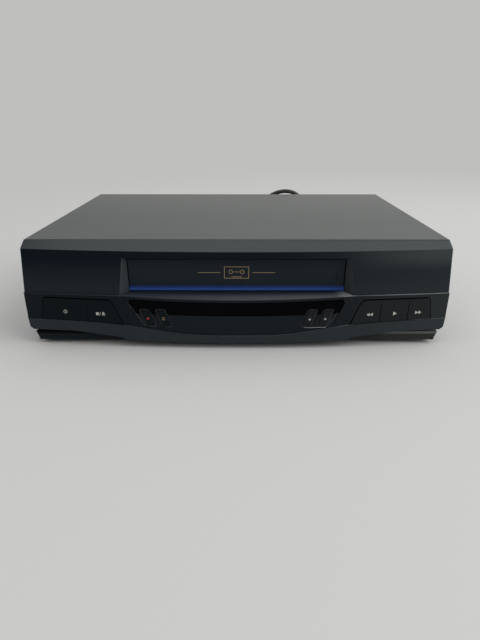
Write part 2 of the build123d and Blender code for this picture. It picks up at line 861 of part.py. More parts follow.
# Mains transformer: laminated core with the winding round its middle limb
core_width = 46.0
core_height = 38.0
core_depth = 18.0
limb = 9.0
transformer_x = (supply_left + supply_right) / 2
transformer_y = main_board_back - 45.0
with BuildPart() as mains_transformer:
    with BuildSketch(Plane.XZ.offset(-(transformer_y + core_depth / 2))):
        with Locations((transformer_x, main_board_top)):
            Rectangle(core_width, core_height, align=(Align.CENTER, Align.MIN))
    extrude(amount=core_depth)
    with BuildSketch(Plane.XY.offset(main_board_top + limb)) as winding:
        with Locations((transformer_x, transformer_y)):
            Rectangle(core_width - 2 * limb, core_depth + 2 * limb)
        fillet(winding.vertices(), 5.0)
    extrude(amount=core_height - 2 * limb)
mains_transformer.part.label = "mains_transformer"
export_step(mains_transformer.part, "parts/mains_transformer.step")

# Smoothing capacitors and the regulator's heat sink
with BuildPart() as supply_capacitors:
    for x, y, radius, tall in ((-18, -60, 9, 30), (10, -60, 6.5, 25), (-20, -90, 6.5, 22)):
        with BuildSketch(Plane.XY.offset(main_board_top)):
            with Locations((transformer_x + x, transformer_y + y)):
                Circle(radius)
        extrude(amount=tall)
supply_capacitors.part.label = "supply_capacitors"
export_step(supply_capacitors.part, "parts/supply_capacitors.step")

fin_pitch = 6.0
with BuildPart() as heat_sink:
    with BuildSketch(Plane.XY.offset(main_board_top)):
        with Locations((transformer_x + 20, transformer_y - 90)):
            Rectangle(3, 34)
            with Locations((4.5, 0)):
                with GridLocations(1, fin_pitch, 1, 6):
                    Rectangle(9, 1.4)
    extrude(amount=32)
heat_sink.part.label = "heat_sink"
export_step(heat_sink.part, "parts/heat_sink.step")

# ---------------------------------------------------------------- deck

basket_back = door_y + 78.0
basket_depth = 44.0
drum_y = deck_back - drum_room
loaded_back = drum_y - drum_to_cassette
load_travel = loaded_back - basket_back
hub_y = loaded_back - hub_to_edge
hub_x = hub_pitch / 2
drum_x = -8.0
basket_half = cassette_width / 2 + cassette_play
slider_in = basket_half + basket_sheet + plate_gap
slider_out = slider_in + deck_sheet
frame_in = slider_out + plate_gap
frame_out = frame_in + deck_sheet
basket_floor = split_z + seam
load_drop = basket_floor - deck_top - load_height
frame_top = crease_z - deck_sheet

shaft_radius = 2.0
shaft_hole = shaft_radius + running_gap
deck_lift = 0.3
idler_y = hub_y + 22.0
idler_arm_length = 24.0
idler_radius = 13.0
capstan_x = 58.0
capstan_y = loaded_back + 7.0
bearing_radius = 4.0
pinch_pivot = (capstan_x + 28.0, capstan_y + 18.0)
pinch_rest = (capstan_x + 2.7, capstan_y + 25.0)
pinch_radius = 6.5
cam_place = (-84.0, drum_y + 10.0)
cam_radius = 15.0
cam_pulley_radius = 11.0
motor_place = (-84.0, cam_place[1] + 34.0)
motor_pulley_radius = 4.0
motor_radius = 10.0
motor_height = 24.0
tension_pivot = (-74.0, loaded_back + 9.0)
guide_slot = 4.0
guide_paths = {
    "supply_guide": ((-44.0, loaded_back - 7.0), (-50.0, drum_y + 10.0)),
    "takeup_guide": ((28.0, loaded_back - 7.0), (33.0, drum_y + 12.0)),
}
shaft_places = [
    (-hub_x, hub_y), (hub_x, hub_y), (0, idler_y), pinch_pivot, cam_place, tension_pivot,
]

# Pressed plate that carries the tape mechanism
with BuildPart() as deck_plate:
    with BuildSketch(Plane.XY.offset(deck_z)) as plate:
        with Locations((0, (deck_front + deck_back) / 2)):
            Rectangle(2 * deck_half, deck_back - deck_front)
        fillet(plate.vertices(), 5.0)
        with Locations(*shaft_places):
            Circle(shaft_hole, mode=Mode.SUBTRACT)
        with Locations((capstan_x, capstan_y)):
            Circle(bearing_radius + skin_gap, mode=Mode.SUBTRACT)
        for start, end in guide_paths.values():
            path = Vector(*end) - Vector(*start)
            middle = (Vector(*end) + Vector(*start)) * 0.5
            with Locations((middle.X, middle.Y)):
                SlotOverall(path.length + guide_slot, guide_slot,
                            rotation=degrees(atan2(path.Y, path.X)), mode=Mode.SUBTRACT)
    extrude(amount=deck_sheet)
deck_plate.part.label = "deck_plate"
export_step(deck_plate.part, "parts/deck_plate.step")

# Upright side plates with the slots that the carriage runs in
rail_z = frame_top - 6.0
rail_pin_inset = 6.0
rail_start = basket_back - basket_depth + rail_pin_inset - 2.0
rail_end = basket_back - rail_pin_inset + load_travel
slot_radius = guide_pin_radius + slot_play
with BuildPart() as carriage_frames:
    for side in (-1, 1):
        with BuildSketch(Plane.YZ.offset(side * frame_in)):
            with Locations((basket_back - basket_depth - 12, deck_top)):
                Rectangle(basket_depth + load_travel + 20, frame_top - deck_top,
                          align=(Align.MIN, Align.MIN))
            with Locations(((rail_start + rail_end) / 2, rail_z)):
                SlotOverall(rail_end - rail_start + 2 * slot_radius, 2 * slot_radius,
                            mode=Mode.SUBTRACT)
        extrude(amount=side * deck_sheet)
carriage_frames.part.label = "carriage_frames"
export_step(carriage_frames.part, "parts/carriage_frames.step")

# Plate that ties the side plates together over the carriage
with BuildPart() as carriage_bridge:
    with BuildSketch(Plane.XY.offset(frame_top)) as bridge:
        with Locations((0, basket_back - basket_depth - 4)):
            Rectangle(2 * frame_out, basket_depth + load_travel,
                      align=(Align.CENTER, Align.MIN))
        fillet(bridge.vertices(), 3.0)
    extrude(amount=deck_sheet)
carriage_bridge.part.label = "carriage_bridge"
export_step(carriage_bridge.part, "parts/carriage_bridge.step")

# Two slides that carry the basket inwards, with upright slots that let it down
pin_z = rail_z - 10.0
basket_pin_y = (basket_back - basket_depth + 10.0, basket_back - 12.0)
slider_low = pin_z - load_drop - slot_radius - 4.0
with BuildPart() as carriage_slides:
    for side in (-1, 1):
        with BuildSketch(Plane.YZ.offset(side * slider_in)):
            with Locations((basket_back, slider_low)):
                Rectangle(basket_depth + 2, rail_z + 4 - slider_low,
                          align=(Align.MAX, Align.MIN))
            with Locations(*[(y, pin_z - load_drop / 2) for y in basket_pin_y]):
                SlotOverall(load_drop + 2 * slot_radius, 2 * slot_radius, rotation=90,
                            mode=Mode.SUBTRACT)
        extrude(amount=side * deck_sheet)
        with BuildSketch(Plane.YZ.offset(side * slider_out)):
            with Locations((rail_start, rail_z), (rail_end - load_travel, rail_z)):
                Circle(guide_pin_radius)
        extrude(amount=side * (frame_out - slider_out + 0.4))
carriage_slides.part.label = "carriage_slides"
export_step(carriage_slides.part, "parts/carriage_slides.step")

# Basket that holds the cassette: two sides with ledges, a stop and a bar across the top
ledge_width = 19.0
basket_top = basket_floor + basket_sheet + cassette_height + 0.9
with BuildPart() as cassette_basket:
    for side in (-1, 1):
        with BuildSketch(Plane.YZ.offset(side * basket_half)):
            with Locations((basket_back, basket_floor)):
                Rectangle(basket_depth, basket_top + basket_sheet - basket_floor,
                          align=(Align.MAX, Align.MIN))
        extrude(amount=side * basket_sheet)
        with BuildSketch(Plane.YZ.offset(side * (basket_half - ledge_width))):
            with Locations((basket_back, basket_floor)):
                Rectangle(basket_depth + 21, basket_sheet, align=(Align.MAX, Align.MIN))
                Rectangle(basket_sheet, 12.0, align=(Align.MAX, Align.MIN))
        extrude(amount=side * ledge_width)
        with BuildSketch(Plane.YZ.offset(side * (basket_half + basket_sheet))):
            with Locations(*[(y, pin_z) for y in basket_pin_y]):
                Circle(guide_pin_radius)
        extrude(amount=side * (slider_out - basket_half - basket_sheet + 0.2))
    with BuildSketch(Plane.XY.offset(basket_top)):
        with Locations((0, basket_back - 4)):
            Rectangle(2 * basket_half + 2 * basket_sheet, 12, align=(Align.CENTER, Align.MAX))
    extrude(amount=basket_sheet)
cassette_basket.part.label = "cassette_basket"
export_step(cassette_basket.part, "parts/cassette_basket.step")

# ---------------------------------------------------------------- drum

drum_base = 5.0
lower_drum_height = 12.0
upper_drum_height = 14.0
drum_gap = 0.3
drum_shaft = 3.0
lean = Vector(-sin(radians(drum_tilt)), 0, cos(radians(drum_tilt)))
drum_plane = Plane(
    origin=(drum_x, drum_y, deck_top + drum_base),
    x_dir=(cos(radians(drum_tilt)), 0, sin(radians(drum_tilt))), z_dir=lean,
)

# Fixed lower drum on its foot
with BuildPart() as lower_drum:
    with BuildSketch(Plane.XY.offset(deck_top)):
        with Locations((drum_x, drum_y)):
            Circle(drum_radius - 8)
    extrude(amount=drum_base + 2)
    with BuildSketch(drum_plane):
        Circle(drum_radius)
    extrude(amount=lower_drum_height)
    with BuildSketch(drum_plane.offset(lower_drum_height)):
        Circle(drum_shaft + running_gap)
    extrude(amount=-9.0, mode=Mode.SUBTRACT)
lower_drum.part.label = "lower_drum"
export_step(lower_drum.part, "parts/lower_drum.step")

# Upper drum that carries the heads round, with its hub and shaft
with BuildPart() as upper_drum:
    with BuildSketch(drum_plane.offset(lower_drum_height + drum_gap)):
        Circle(drum_radius)
    extrude(amount=upper_drum_height)
    with BuildSketch(drum_plane.offset(lower_drum_height + drum_gap + upper_drum_height)):
        Circle(drum_radius * 0.45)
        with PolarLocations(drum_radius * 0.72, 6):
            Circle(2.2)
    extrude(amount=2.5)
    with BuildSketch(drum_plane.offset(lower_drum_height + drum_gap)):
        Circle(drum_shaft)
    extrude(amount=-8.0)
upper_drum.part.label = "upper_drum"
export_step(upper_drum.part, "parts/upper_drum.step")

# ---------------------------------------------------------------- reels and capstan

reel_z = deck_top + deck_lift
for label, x in (("supply_reel", -hub_x), ("takeup_reel", hub_x)):
    with BuildPart() as reel:
        with BuildSketch(Plane.XY.offset(deck_z - 2.0)):
            with Locations((x, hub_y)):
                Circle(shaft_radius)
        extrude(amount=reel_z + 1.0 - deck_z + 2.0)
        with BuildSketch(Plane.XY.offset(reel_z)):
            with Locations((x, hub_y)):
                Circle(5.0)
        extrude(amount=1.0)
        with BuildSketch(Plane.XY.offset(reel_z + 1.0)):
            with Locations((x, hub_y)):
                Circle(reel_radius)
        extrude(amount=reel_thickness)
        with BuildSketch(Plane.XY.offset(reel_z + 1.0 + reel_thickness)):
            with Locations((x, hub_y)):
                Circle(4.2)
                with PolarLocations(4.2, 3):
                    Rectangle(3.2, 1.6)
        extrude(amount=spindle_height, taper=3)
    reel.part.label = label
    export_step(reel.part, f"parts/{label}.step")

# Swinging arm and rubber wheel that drive one reel or the other
with BuildPart() as idler_arm:
    with BuildSketch(Plane.XY.offset(reel_z)):
        with Locations((0, idler_y - idler_arm_length / 2)):
            SlotOverall(idler_arm_length + 8, 8, rotation=90)
    extrude(amount=1.5)
    with BuildSketch(Plane.XY.offset(deck_z - 2.0)):
        with Locations((0, idler_y)):
            Circle(shaft_radius)
    extrude(amount=reel_z + 1.0 - deck_z + 2.0)
    with BuildSketch(Plane.XY.offset(reel_z + 1.5)):
        with Locations((0, idler_y - idler_arm_length)):
            Circle(capstan_radius)
    extrude(amount=4.0)
idler_arm.part.label = "idler_arm"
export_step(idler_arm.part, "parts/idler_arm.step")

with BuildPart() as idler_wheel:
    with BuildSketch(Plane.XY.offset(reel_z + 1.5 + deck_lift)):
        with Locations((0, idler_y - idler_arm_length)):
            Circle(idler_radius)
            Circle(capstan_radius + running_gap, mode=Mode.SUBTRACT)
    extrude(amount=2.6)
idler_wheel.part.label = "idler_wheel"
export_step(idler_wheel.part, "parts/idler_wheel.step")

flywheel_z = main_board_top + 0.8
flywheel_thickness = 4.0
capstan_top = deck_top + 29.0

# Capstan motor: coil plate under the deck and the bearing that rises through it
with BuildPart() as capstan_motor:
    with BuildSketch(Plane.XY.offset(flywheel_z + flywheel_thickness + deck_lift)):
        with Locations((capstan_x, capstan_y)):
            Circle(flywheel_radius - 2)
            Circle(capstan_radius + running_gap, mode=Mode.SUBTRACT)
    extrude(amount=deck_z - flywheel_z - flywheel_thickness - deck_lift)
    with BuildSketch(Plane.XY.offset(deck_z)):
        with Locations((capstan_x, capstan_y)):
            Circle(bearing_radius)
            Circle(capstan_radius + running_gap, mode=Mode.SUBTRACT)
    extrude(amount=deck_sheet + 9.0)
capstan_motor.part.label = "capstan_motor"
export_step(capstan_motor.part, "parts/capstan_motor.step")

with BuildPart() as capstan:
    with BuildSketch(Plane.XY.offset(flywheel_z)):
        with Locations((capstan_x, capstan_y)):
            Circle(flywheel_radius)
    extrude(amount=flywheel_thickness)
    with BuildSketch(Plane.XY.offset(flywheel_z)):
        with Locations((capstan_x, capstan_y)):
            Circle(capstan_radius)
    extrude(amount=capstan_top - flywheel_z)
capstan.part.label = "capstan"
export_step(capstan.part, "parts/capstan.step")

# Pinch roller and the arm that presses it on the capstan
pinch_low = deck_top + 11.0
pinch_reach = Vector(*pinch_rest) - Vector(*pinch_pivot)
with BuildPart() as pinch_arm:
    with BuildSketch(Plane.XY.offset(pinch_low - 3.0)):
        with Locations(((pinch_rest[0] + pinch_pivot[0]) / 2,
                        (pinch_rest[1] + pinch_pivot[1]) / 2)):
            SlotOverall(pinch_reach.length + 8, 8,
                        rotation=degrees(atan2(pinch_reach.Y, pinch_reach.X)))
    extrude(amount=2.5)
    with BuildSketch(Plane.XY.offset(reel_z)):
        with Locations(pinch_pivot):
            Circle(4.0)
    extrude(amount=pinch_low - 3.0 - reel_z)
    with BuildSketch(Plane.XY.offset(deck_z - 2.0)):
        with Locations(pinch_pivot):
            Circle(shaft_radius)
    extrude(amount=reel_z - deck_z + 2.0)
    with BuildSketch(Plane.XY.offset(pinch_low - 0.5)):
        with Locations(pinch_rest):
            Circle(capstan_radius)
    extrude(amount=15.0)
pinch_arm.part.label = "pinch_arm"
export_step(pinch_arm.part, "parts/pinch_arm.step")

with BuildPart() as pinch_roller:
    with BuildSketch(Plane.XY.offset(pinch_low)):
        with Locations(pinch_rest):
            Circle(pinch_radius)
            Circle(capstan_radius + running_gap, mode=Mode.SUBTRACT)
    extrude(amount=13.0)
pinch_roller.part.label = "pinch_roller"
export_step(pinch_roller.part, "parts/pinch_roller.step")

# ---------------------------------------------------------------- threading

# Sleds that draw the tape round the drum, each with a roller and a slanted post
for label, (start, end) in guide_paths.items():
    with BuildPart() as sled:
        with BuildSketch(Plane.XY.offset(reel_z)) as base:
            with Locations(start):
                Rectangle(9.0, 12.0)
            fillet(base.vertices(), 2.0)
        extrude(amount=3.0)
        with BuildSketch(Plane.XY.offset(deck_z - 1.0)):
            with Locations(start):
                Circle(guide_slot / 2 - 0.3)
        extrude(amount=reel_z - deck_z + 1.0)
        with BuildSketch(Plane.XY.offset(reel_z + 3.0)):
            with Locations((start[0], start[1] + 2)):
                Circle(3.0)
        extrude(amount=19.0)
        with BuildSketch(Plane.XY.offset(reel_z + 3.0)):
            with Locations((start[0], start[1] - 4)):
                Circle(1.2)
        extrude(amount=18.0)
    sled.part.label = label
    export_step(sled.part, f"parts/{label}.step")

# Cam wheel with the belt pulley on top
with BuildPart() as cam_wheel:
    with BuildSketch(Plane.XY.offset(deck_z - 2.0)):
        with Locations(cam_place):
            Circle(shaft_radius)
    extrude(amount=reel_z - deck_z + 2.0)
    with BuildSketch(Plane.XY.offset(reel_z)):
        with Locations(cam_place):
            Circle(cam_radius)
    extrude(amount=2.5)
    with BuildSketch(Plane.XY.offset(reel_z + 2.5)):
        with Locations(cam_place):
            Circle(cam_pulley_radius)
    extrude(amount=4.0)
    with BuildSketch(Plane.XY.offset(reel_z + 6.5)):
        with Locations(cam_place):
            Circle(cam_pulley_radius + 1.5)
            with PolarLocations(7.0, 5):
                Circle(2.2, mode=Mode.SUBTRACT)
    extrude(amount=1.0)
cam_wheel.part.label = "cam_wheel"
export_step(cam_wheel.part, "parts/cam_wheel.step")

# Loading motor, hung on a bracket so that its pulley lies level with the cam's
pulley_z = reel_z + 2.5
bracket_z = pulley_z + 6.0
with BuildPart() as loading_motor:
    with BuildSketch(Plane.XZ.offset(-(motor_place[1] - motor_radius - 2))):
        with Locations((motor_place[0], deck_top)):
            Rectangle(2 * motor_radius + 6, bracket_z + 1.5 - deck_top,
                      align=(Align.CENTER, Align.MIN))
            Rectangle(2 * motor_radius + 3, bracket_z - deck_top,
                      align=(Align.CENTER, Align.MIN), mode=Mode.SUBTRACT)
    extrude(amount=-(2 * motor_radius + 4))
    with BuildSketch(Plane.XY.offset(bracket_z)):
        with Locations(motor_place):
            Circle(motor_radius)
    extrude(amount=motor_height)
    with BuildSketch(Plane.XY.offset(bracket_z)):
        with Locations(motor_place):
            Circle(capstan_radius + running_gap)
    extrude(amount=6.0, mode=Mode.SUBTRACT)
loading_motor.part.label = "loading_motor"
export_step(loading_motor.part, "parts/loading_motor.step")

with BuildPart() as motor_pulley:
    with BuildSketch(Plane.XY.offset(pulley_z)):
        with Locations(motor_place):
            Circle(motor_pulley_radius)
    extrude(amount=4.0)
    with BuildSketch(Plane.XY.offset(pulley_z + 4.0)):
        with Locations(motor_place):
            Circle(capstan_radius)
    extrude(amount=7.0)
motor_pulley.part.label = "motor_pulley"
export_step(motor_pulley.part, "parts/motor_pulley.step")

# Belt between the two pulleys
belt_gap = 0.25
belt_width = 1.4
belt_span = motor_place[1] - cam_place[1]
belt_angle = asin((cam_pulley_radius - motor_pulley_radius) / belt_span)


def belt_outline(grow):
    # Two arcs round the pulleys joined by their outer tangents.
    big = cam_pulley_radius + grow
    small = motor_pulley_radius + grow
    across = cos(belt_angle)
    along = sin(belt_angle)
    with BuildSketch(Plane.XY.offset(pulley_z + 1.2)) as outline:
        with BuildLine():
            cam_right = (cam_place[0] + big * across, cam_place[1] + big * along)
            cam_left = (cam_place[0] - big * across, cam_place[1] + big * along)
            motor_right = (motor_place[0] + small * across, motor_place[1] + small * along)
            motor_left = (motor_place[0] - small * across, motor_place[1] + small * along)
            Line(cam_right, motor_right)
            ThreePointArc(motor_right, (motor_place[0], motor_place[1] + small), motor_left)
            Line(motor_left, cam_left)
            ThreePointArc(cam_left, (cam_place[0], cam_place[1] - big), cam_right)
        make_face()
    return outline.sketch


with BuildPart() as loading_belt:
    extrude(belt_outline(belt_gap + belt_width), amount=1.6)
    extrude(belt_outline(belt_gap), amount=1.6, mode=Mode.SUBTRACT)
loading_belt.part.label = "loading_belt"
export_step(loading_belt.part, "parts/loading_belt.step")

# Arm that feels the tape's tension
with BuildPart() as tension_arm:
    with BuildSketch(Plane.XY.offset(reel_z)):
        with Locations((tension_pivot[0] + 7, tension_pivot[1])):
            SlotOverall(20, 6)
    extrude(amount=1.5)
    with BuildSketch(Plane.XY.offset(deck_z - 2.0)):
        with Locations(tension_pivot):
            Circle(shaft_radius)
    extrude(amount=reel_z + 1.0 - deck_z + 2.0)
    with BuildSketch(Plane.XY.offset(reel_z + 1.5)):
        with Locations((tension_pivot[0] + 14, tension_pivot[1])):
            Circle(1.8)
    extrude(amount=20.0)
tension_arm.part.label = "tension_arm"
export_step(tension_arm.part, "parts/tension_arm.step")

# Heads beside the tape's way, each on its bracket
for label, (x, y) in (("erase_head", (-61.0, tension_pivot[1] + 21.0)),
                      ("sound_head", (capstan_x - 13.0, capstan_y + 12.0))):
    with BuildPart() as head:
        with BuildSketch(Plane.XY.offset(deck_top)) as bracket:
            with Locations((x, y)):
                Rectangle(8.0, 10.0)
            fillet(bracket.vertices(), 1.0)
        extrude(amount=7.0)
        with BuildSketch(Plane.XY.offset(deck_top + 7.0)) as block:
            with Locations((x, y)):
                Rectangle(7.0, 8.0)
            fillet(block.vertices().group_by(Axis.Y)[0], 2.5)
        extrude(amount=15.0)
    head.part.label = label
    export_step(head.part, f"parts/{label}.step")

# ---------------------------------------------------------------- mains lead

# The lead leaves its grip, curls round on the ground and joins a tied oval coil that
# stands against the back; the plug lies at the end of a short tail.
cord_radius = cord_diameter / 2
coil_x = grip_x - 60.0
coil_half = 36.0
coil_height = case_height + 4.0
coil_layers = 3
coil_front = rear_y + seam
coil_depth = coil_layers * cord_diameter
plug_z = 6.5
cord_lead = [(grip_x, pan_back + grip_length, grip_z)] + [
    (grip_x + x, rear_y + y, z) for x, y, z in (
        (-0.2, 40.6, 24.8), (-3, 59.6, 19), (-10.5, 76.6, 11.5), (-25, 90.6, 5.2),
        (-44.5, 98.6, cord_radius), (-68, 99.6, cord_radius), (-92, 93.6, cord_radius),
        (-114, 80.6, cord_radius), (-128, 60.1, cord_radius), (-128.5, 36.6, cord_radius),
        (-113.5, 18.6, cord_radius), (-90.5, 12.1, cord_radius), (-66, 11, cord_radius),
    )
]
cord_tail = [
    (grip_x + x, rear_y + y, z) for x, y, z in (
        (-50, 10.8, cord_radius), (-32, 12.1, 3.8), (-14, 14.1, plug_z), (4, 14.1, plug_z),
    )
]


def arc_radii(points):
    # Each corner takes the largest arc that its two runs allow.
    radii = []
    for before, at, after in zip(points, points[1:], points[2:]):
        come = Vector(*at) - Vector(*before)
        go = Vector(*after) - Vector(*at)
        half_turn = radians(come.get_angle(go)) / 2
        radii.append(0.45 * min(come.length, go.length) / tan(half_turn))
    return radii


cord_volume = 0.0
with BuildPart() as power_cord:
    for points in (cord_lead, cord_tail):
        print("cord radii", [round(radius, 1) for radius in arc_radii(points)])
        with BuildLine() as route:
            FilletPolyline(*points, radius=arc_radii(points))
        with BuildSketch(Plane(origin=route.line @ 0, z_dir=route.line % 0)):
            Circle(cord_radius)
        sweep()
        cord_length = sum(edge.length for edge in route.line.edges())
        cord_volume += cord_length * pi * cord_radius ** 2
print("cord volume", round(power_cord.part.volume), "section times length", round(cord_volume))
power_cord.part.label = "power_cord"
export_step(power_cord.part, "parts/power_cord.step")

with BuildPart() as cord_coil:
    with BuildSketch(Plane.XZ.offset(-coil_front)):
        with Locations((coil_x, coil_height / 2)):
            SlotOverall(coil_height, 2 * coil_half, rotation=90)
            SlotOverall(coil_height - 2 * coil_depth, 2 * (coil_half - coil_depth), rotation=90,
                        mode=Mode.SUBTRACT)
    extrude(amount=-coil_depth)
cord_coil.part.label = "cord_coil"
export_step(cord_coil.part, "parts/cord_coil.step")

# Two-pin plug lying on its flat side
plug_width = 22.0
plug_length = 24.0
plug_neck = 8.0
blade_pitch = 12.7
plug_end_x, plug_y, plug_z = cord_tail[-1]
with BuildPart() as power_plug:
    with BuildSketch(Plane.YZ.offset(plug_end_x)):
        with Locations((plug_y, plug_z)):
            Circle(cord_radius + 0.6)
    extrude(amount=plug_neck, taper=-10)
    with BuildSketch(Plane.YZ.offset(plug_end_x + plug_neck)) as block:
        with Locations((plug_y, plug_z)):
            Rectangle(plug_width, 2 * plug_z)
        fillet(block.vertices(), 4.0)
    extrude(amount=plug_length)
    with BuildSketch(Plane.YZ.offset(plug_end_x + plug_neck + plug_length)):
        with Locations((plug_y, plug_z)):
            with GridLocations(blade_pitch, 1, 2, 1):
                Rectangle(1.5, 6.3)
    extrude(amount=16.0)
power_plug.part.label = "power_plug"
export_step(power_plug.part, "parts/power_plug.step")
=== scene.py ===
import json
import math
import bpy
import bmesh
from mathutils import Matrix, Vector
from mathutils.bvhtree import BVHTree


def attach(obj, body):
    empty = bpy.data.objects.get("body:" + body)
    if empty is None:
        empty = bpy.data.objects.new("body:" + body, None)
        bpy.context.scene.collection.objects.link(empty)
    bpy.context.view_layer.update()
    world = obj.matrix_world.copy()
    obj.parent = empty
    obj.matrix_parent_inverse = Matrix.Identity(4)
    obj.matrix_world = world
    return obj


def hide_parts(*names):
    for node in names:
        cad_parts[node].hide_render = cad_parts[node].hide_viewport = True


# A front-loading video cassette recorder. Metres, X right, Y back, Z up.

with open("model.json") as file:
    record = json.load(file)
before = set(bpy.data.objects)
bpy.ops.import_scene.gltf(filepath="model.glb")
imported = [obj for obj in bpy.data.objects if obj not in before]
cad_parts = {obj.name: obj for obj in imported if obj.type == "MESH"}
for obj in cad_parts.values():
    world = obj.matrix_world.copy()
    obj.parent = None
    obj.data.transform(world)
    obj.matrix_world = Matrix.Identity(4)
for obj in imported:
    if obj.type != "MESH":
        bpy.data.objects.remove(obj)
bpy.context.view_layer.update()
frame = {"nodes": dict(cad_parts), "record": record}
nodes = frame["nodes"]
print("frame loaded:", len(nodes), "nodes")


# camera
cameraSetup = {
    "place": (0.003622, -0.535459, 0.197266),
    "pitch": 23.386,       # degrees below level
    "yaw": -0.076,
    "roll": 0.028,
    "lens": 27.061,
}


def makeCamera(setup):
    pitch, yaw, roll = (math.radians(setup[key]) for key in ("pitch", "yaw", "roll"))
    right = Vector((math.cos(yaw), -math.sin(yaw), 0))
    level = Vector((math.sin(yaw), math.cos(yaw), 0))
    ahead = level * math.cos(pitch) - Vector((0, 0, math.sin(pitch)))
    up = level * math.sin(pitch) + Vector((0, 0, math.cos(pitch)))
    turned = right * math.cos(roll) + up * math.sin(roll)
    upright = up * math.cos(roll) - right * math.sin(roll)
    data = bpy.data.cameras.new("camera")
    data.lens = setup["lens"]
    data.sensor_width = 36
    data.sensor_fit = "AUTO"
    data.clip_start = 0.01
    data.clip_end = 100
    camera = bpy.data.objects.new("camera", data)
    camera.matrix_world = Matrix((
        (turned.x, upright.x, -ahead.x, setup["place"][0]),
        (turned.y, upright.y, -ahead.y, setup["place"][1]),
        (turned.z, upright.z, -ahead.z, setup["place"][2]),
        (0, 0, 0, 1),
    ))
    bpy.context.collection.objects.link(camera)
    bpy.context.scene.camera = camera


makeCamera(cameraSetup)
print("camera placed")


# materials
class Wire:
    # One socket of a material, used in ordinary arithmetic
    def __init__(self, tree, socket=None):
        self.tree = tree
        self.socket = socket

    def node(self, kind, settings=None, inputs=None, output=0):
        made = self.tree.nodes.new(kind)
        for name, value in (settings or {}).items():
            setattr(made, name, value)
        for key, value in (inputs or {}).items():
            if isinstance(value, Wire):
                self.tree.links.new(value.socket, made.inputs[key])
            else:
                made.inputs[key].default_value = value
        return Wire(self.tree, made.outputs[output] if made.outputs else None)

    def maths(self, operation, first, second=0.0):
        return self.node("ShaderNodeMath", {"operation": operation}, {0: first, 1: second})

    def __add__(self, other):
        return self.maths("ADD", self, other)

    __radd__ = __add__

    def __sub__(self, other):
        return self.maths("SUBTRACT", self, other)

    def __rsub__(self, other):
        return self.maths("SUBTRACT", other, self)

    def __mul__(self, other):
        return self.maths("MULTIPLY", self, other)

    __rmul__ = __mul__

    def __truediv__(self, other):
        return self.maths("DIVIDE", self, other)

    def __rtruediv__(self, other):
        return self.maths("DIVIDE", other, self)

    def part(self, axis):
        return self.node("ShaderNodeSeparateXYZ", {}, {0: self}, axis)

    def grain(self, scale, detail=3.0, rough=0.5):
        return self.node("ShaderNodeTexNoise", {},
                         {"Vector": self, "Scale": scale, "Detail": detail, "Roughness": rough})

    def between(self, low, high):
        # 0 below low, 1 above high, smooth between them
        return self.node("ShaderNodeMapRange", {"interpolation_type": "SMOOTHSTEP"},
                         {"Value": self, "From Min": low, "From Max": high})

    def tint(self, dark, light):
        # from the first colour at 0 to the second at 1; each is a wire or red, green and blue
        first, second = (part if isinstance(part, Wire) else (*part, 1.0) for part in (dark, light))
        return self.node("ShaderNodeMix", {"data_type": "RGBA"}, {0: self, 6: first, 7: second}, 2)

    def edgeHighlight(self, radius):
        # 1 along outer and inner edges, where a rounded normal leaves the true one (painted
        # highlight)
        rounded = self.node("ShaderNodeBevel", {"samples": 4}, {"Radius": radius})
        true = self.node("ShaderNodeNewGeometry", {}, {}, "Normal")
        return (1 - rounded.node("ShaderNodeVectorMath", {"operation": "DOT_PRODUCT"},
                                 {0: rounded, 1: true}, 1)).between(0.01, 0.2)

    def stretched(self, scale):
        return self.node("ShaderNodeMapping", {}, {"Vector": self, "Scale": scale})


def startFinish(name):
    material = bpy.data.materials.new(name)
    material.use_nodes = True
    material.node_tree.nodes.clear()
    tree = Wire(material.node_tree)
    place = tree.node("ShaderNodeTexCoord", {}, {}, 3)
    return material, tree, place


def shade(tree, colour, roughness, relief=None, depth=0.0001, soft=0.0, **fixed):
    inputs = {"Base Color": colour, "Roughness": roughness}
    normal = None
    if soft:
        normal = tree.node("ShaderNodeBevel", {"samples": 4}, {"Radius": soft})
    if relief is not None:
        bump = {"Strength": 1.0, "Distance": depth, "Height": relief}
        if normal is not None:
            bump["Normal"] = normal
        normal = tree.node("ShaderNodeBump", {}, bump)
    if normal is not None:
        inputs["Normal"] = normal
    inputs.update(fixed)
    surface = tree.node("ShaderNodeBsdfPrincipled", {}, inputs)
    tree.node("ShaderNodeOutputMaterial", {}, {"Surface": surface})


def mouldedPlastic(name, dark, light, rough=0.45, texture=0.00003, soft=0.0004, gloss=0.16,
                   layer=None):
    # Injection moulded plastic: spark-eroded grain, faint flow, smoother spots, a little dust,
    # and a painted highlight along the edges
    material, tree, place = startFinish(name)
    pebble = place.grain(2600, 2)
    flow = place.stretched((5, 5, 18)).grain(1.4, 3)
    slick = place.grain(22, 4, 0.6).between(0.5, 0.8)
    dust = place.grain(900, 2, 0.7).between(0.74, 0.86)
    colour = (flow * 0.6 + pebble * 0.4).tint(dark, light)
    colour = (dust * 0.25).tint(colour, (0.16, 0.16, 0.15))
    # painted highlight along edges, standing in for the shine on their rounding
    colour = (tree.edgeHighlight(soft) * 0.5).tint(colour, (0.075, 0.08, 0.08))
    if layer:
        colour = layer(tree, place, colour)
    shade(tree, colour, flow * 0.08 + slick * -0.1 + (rough + dust * 0.2),
          pebble, texture, soft, **{"Specular IOR Level": gloss})
    return material
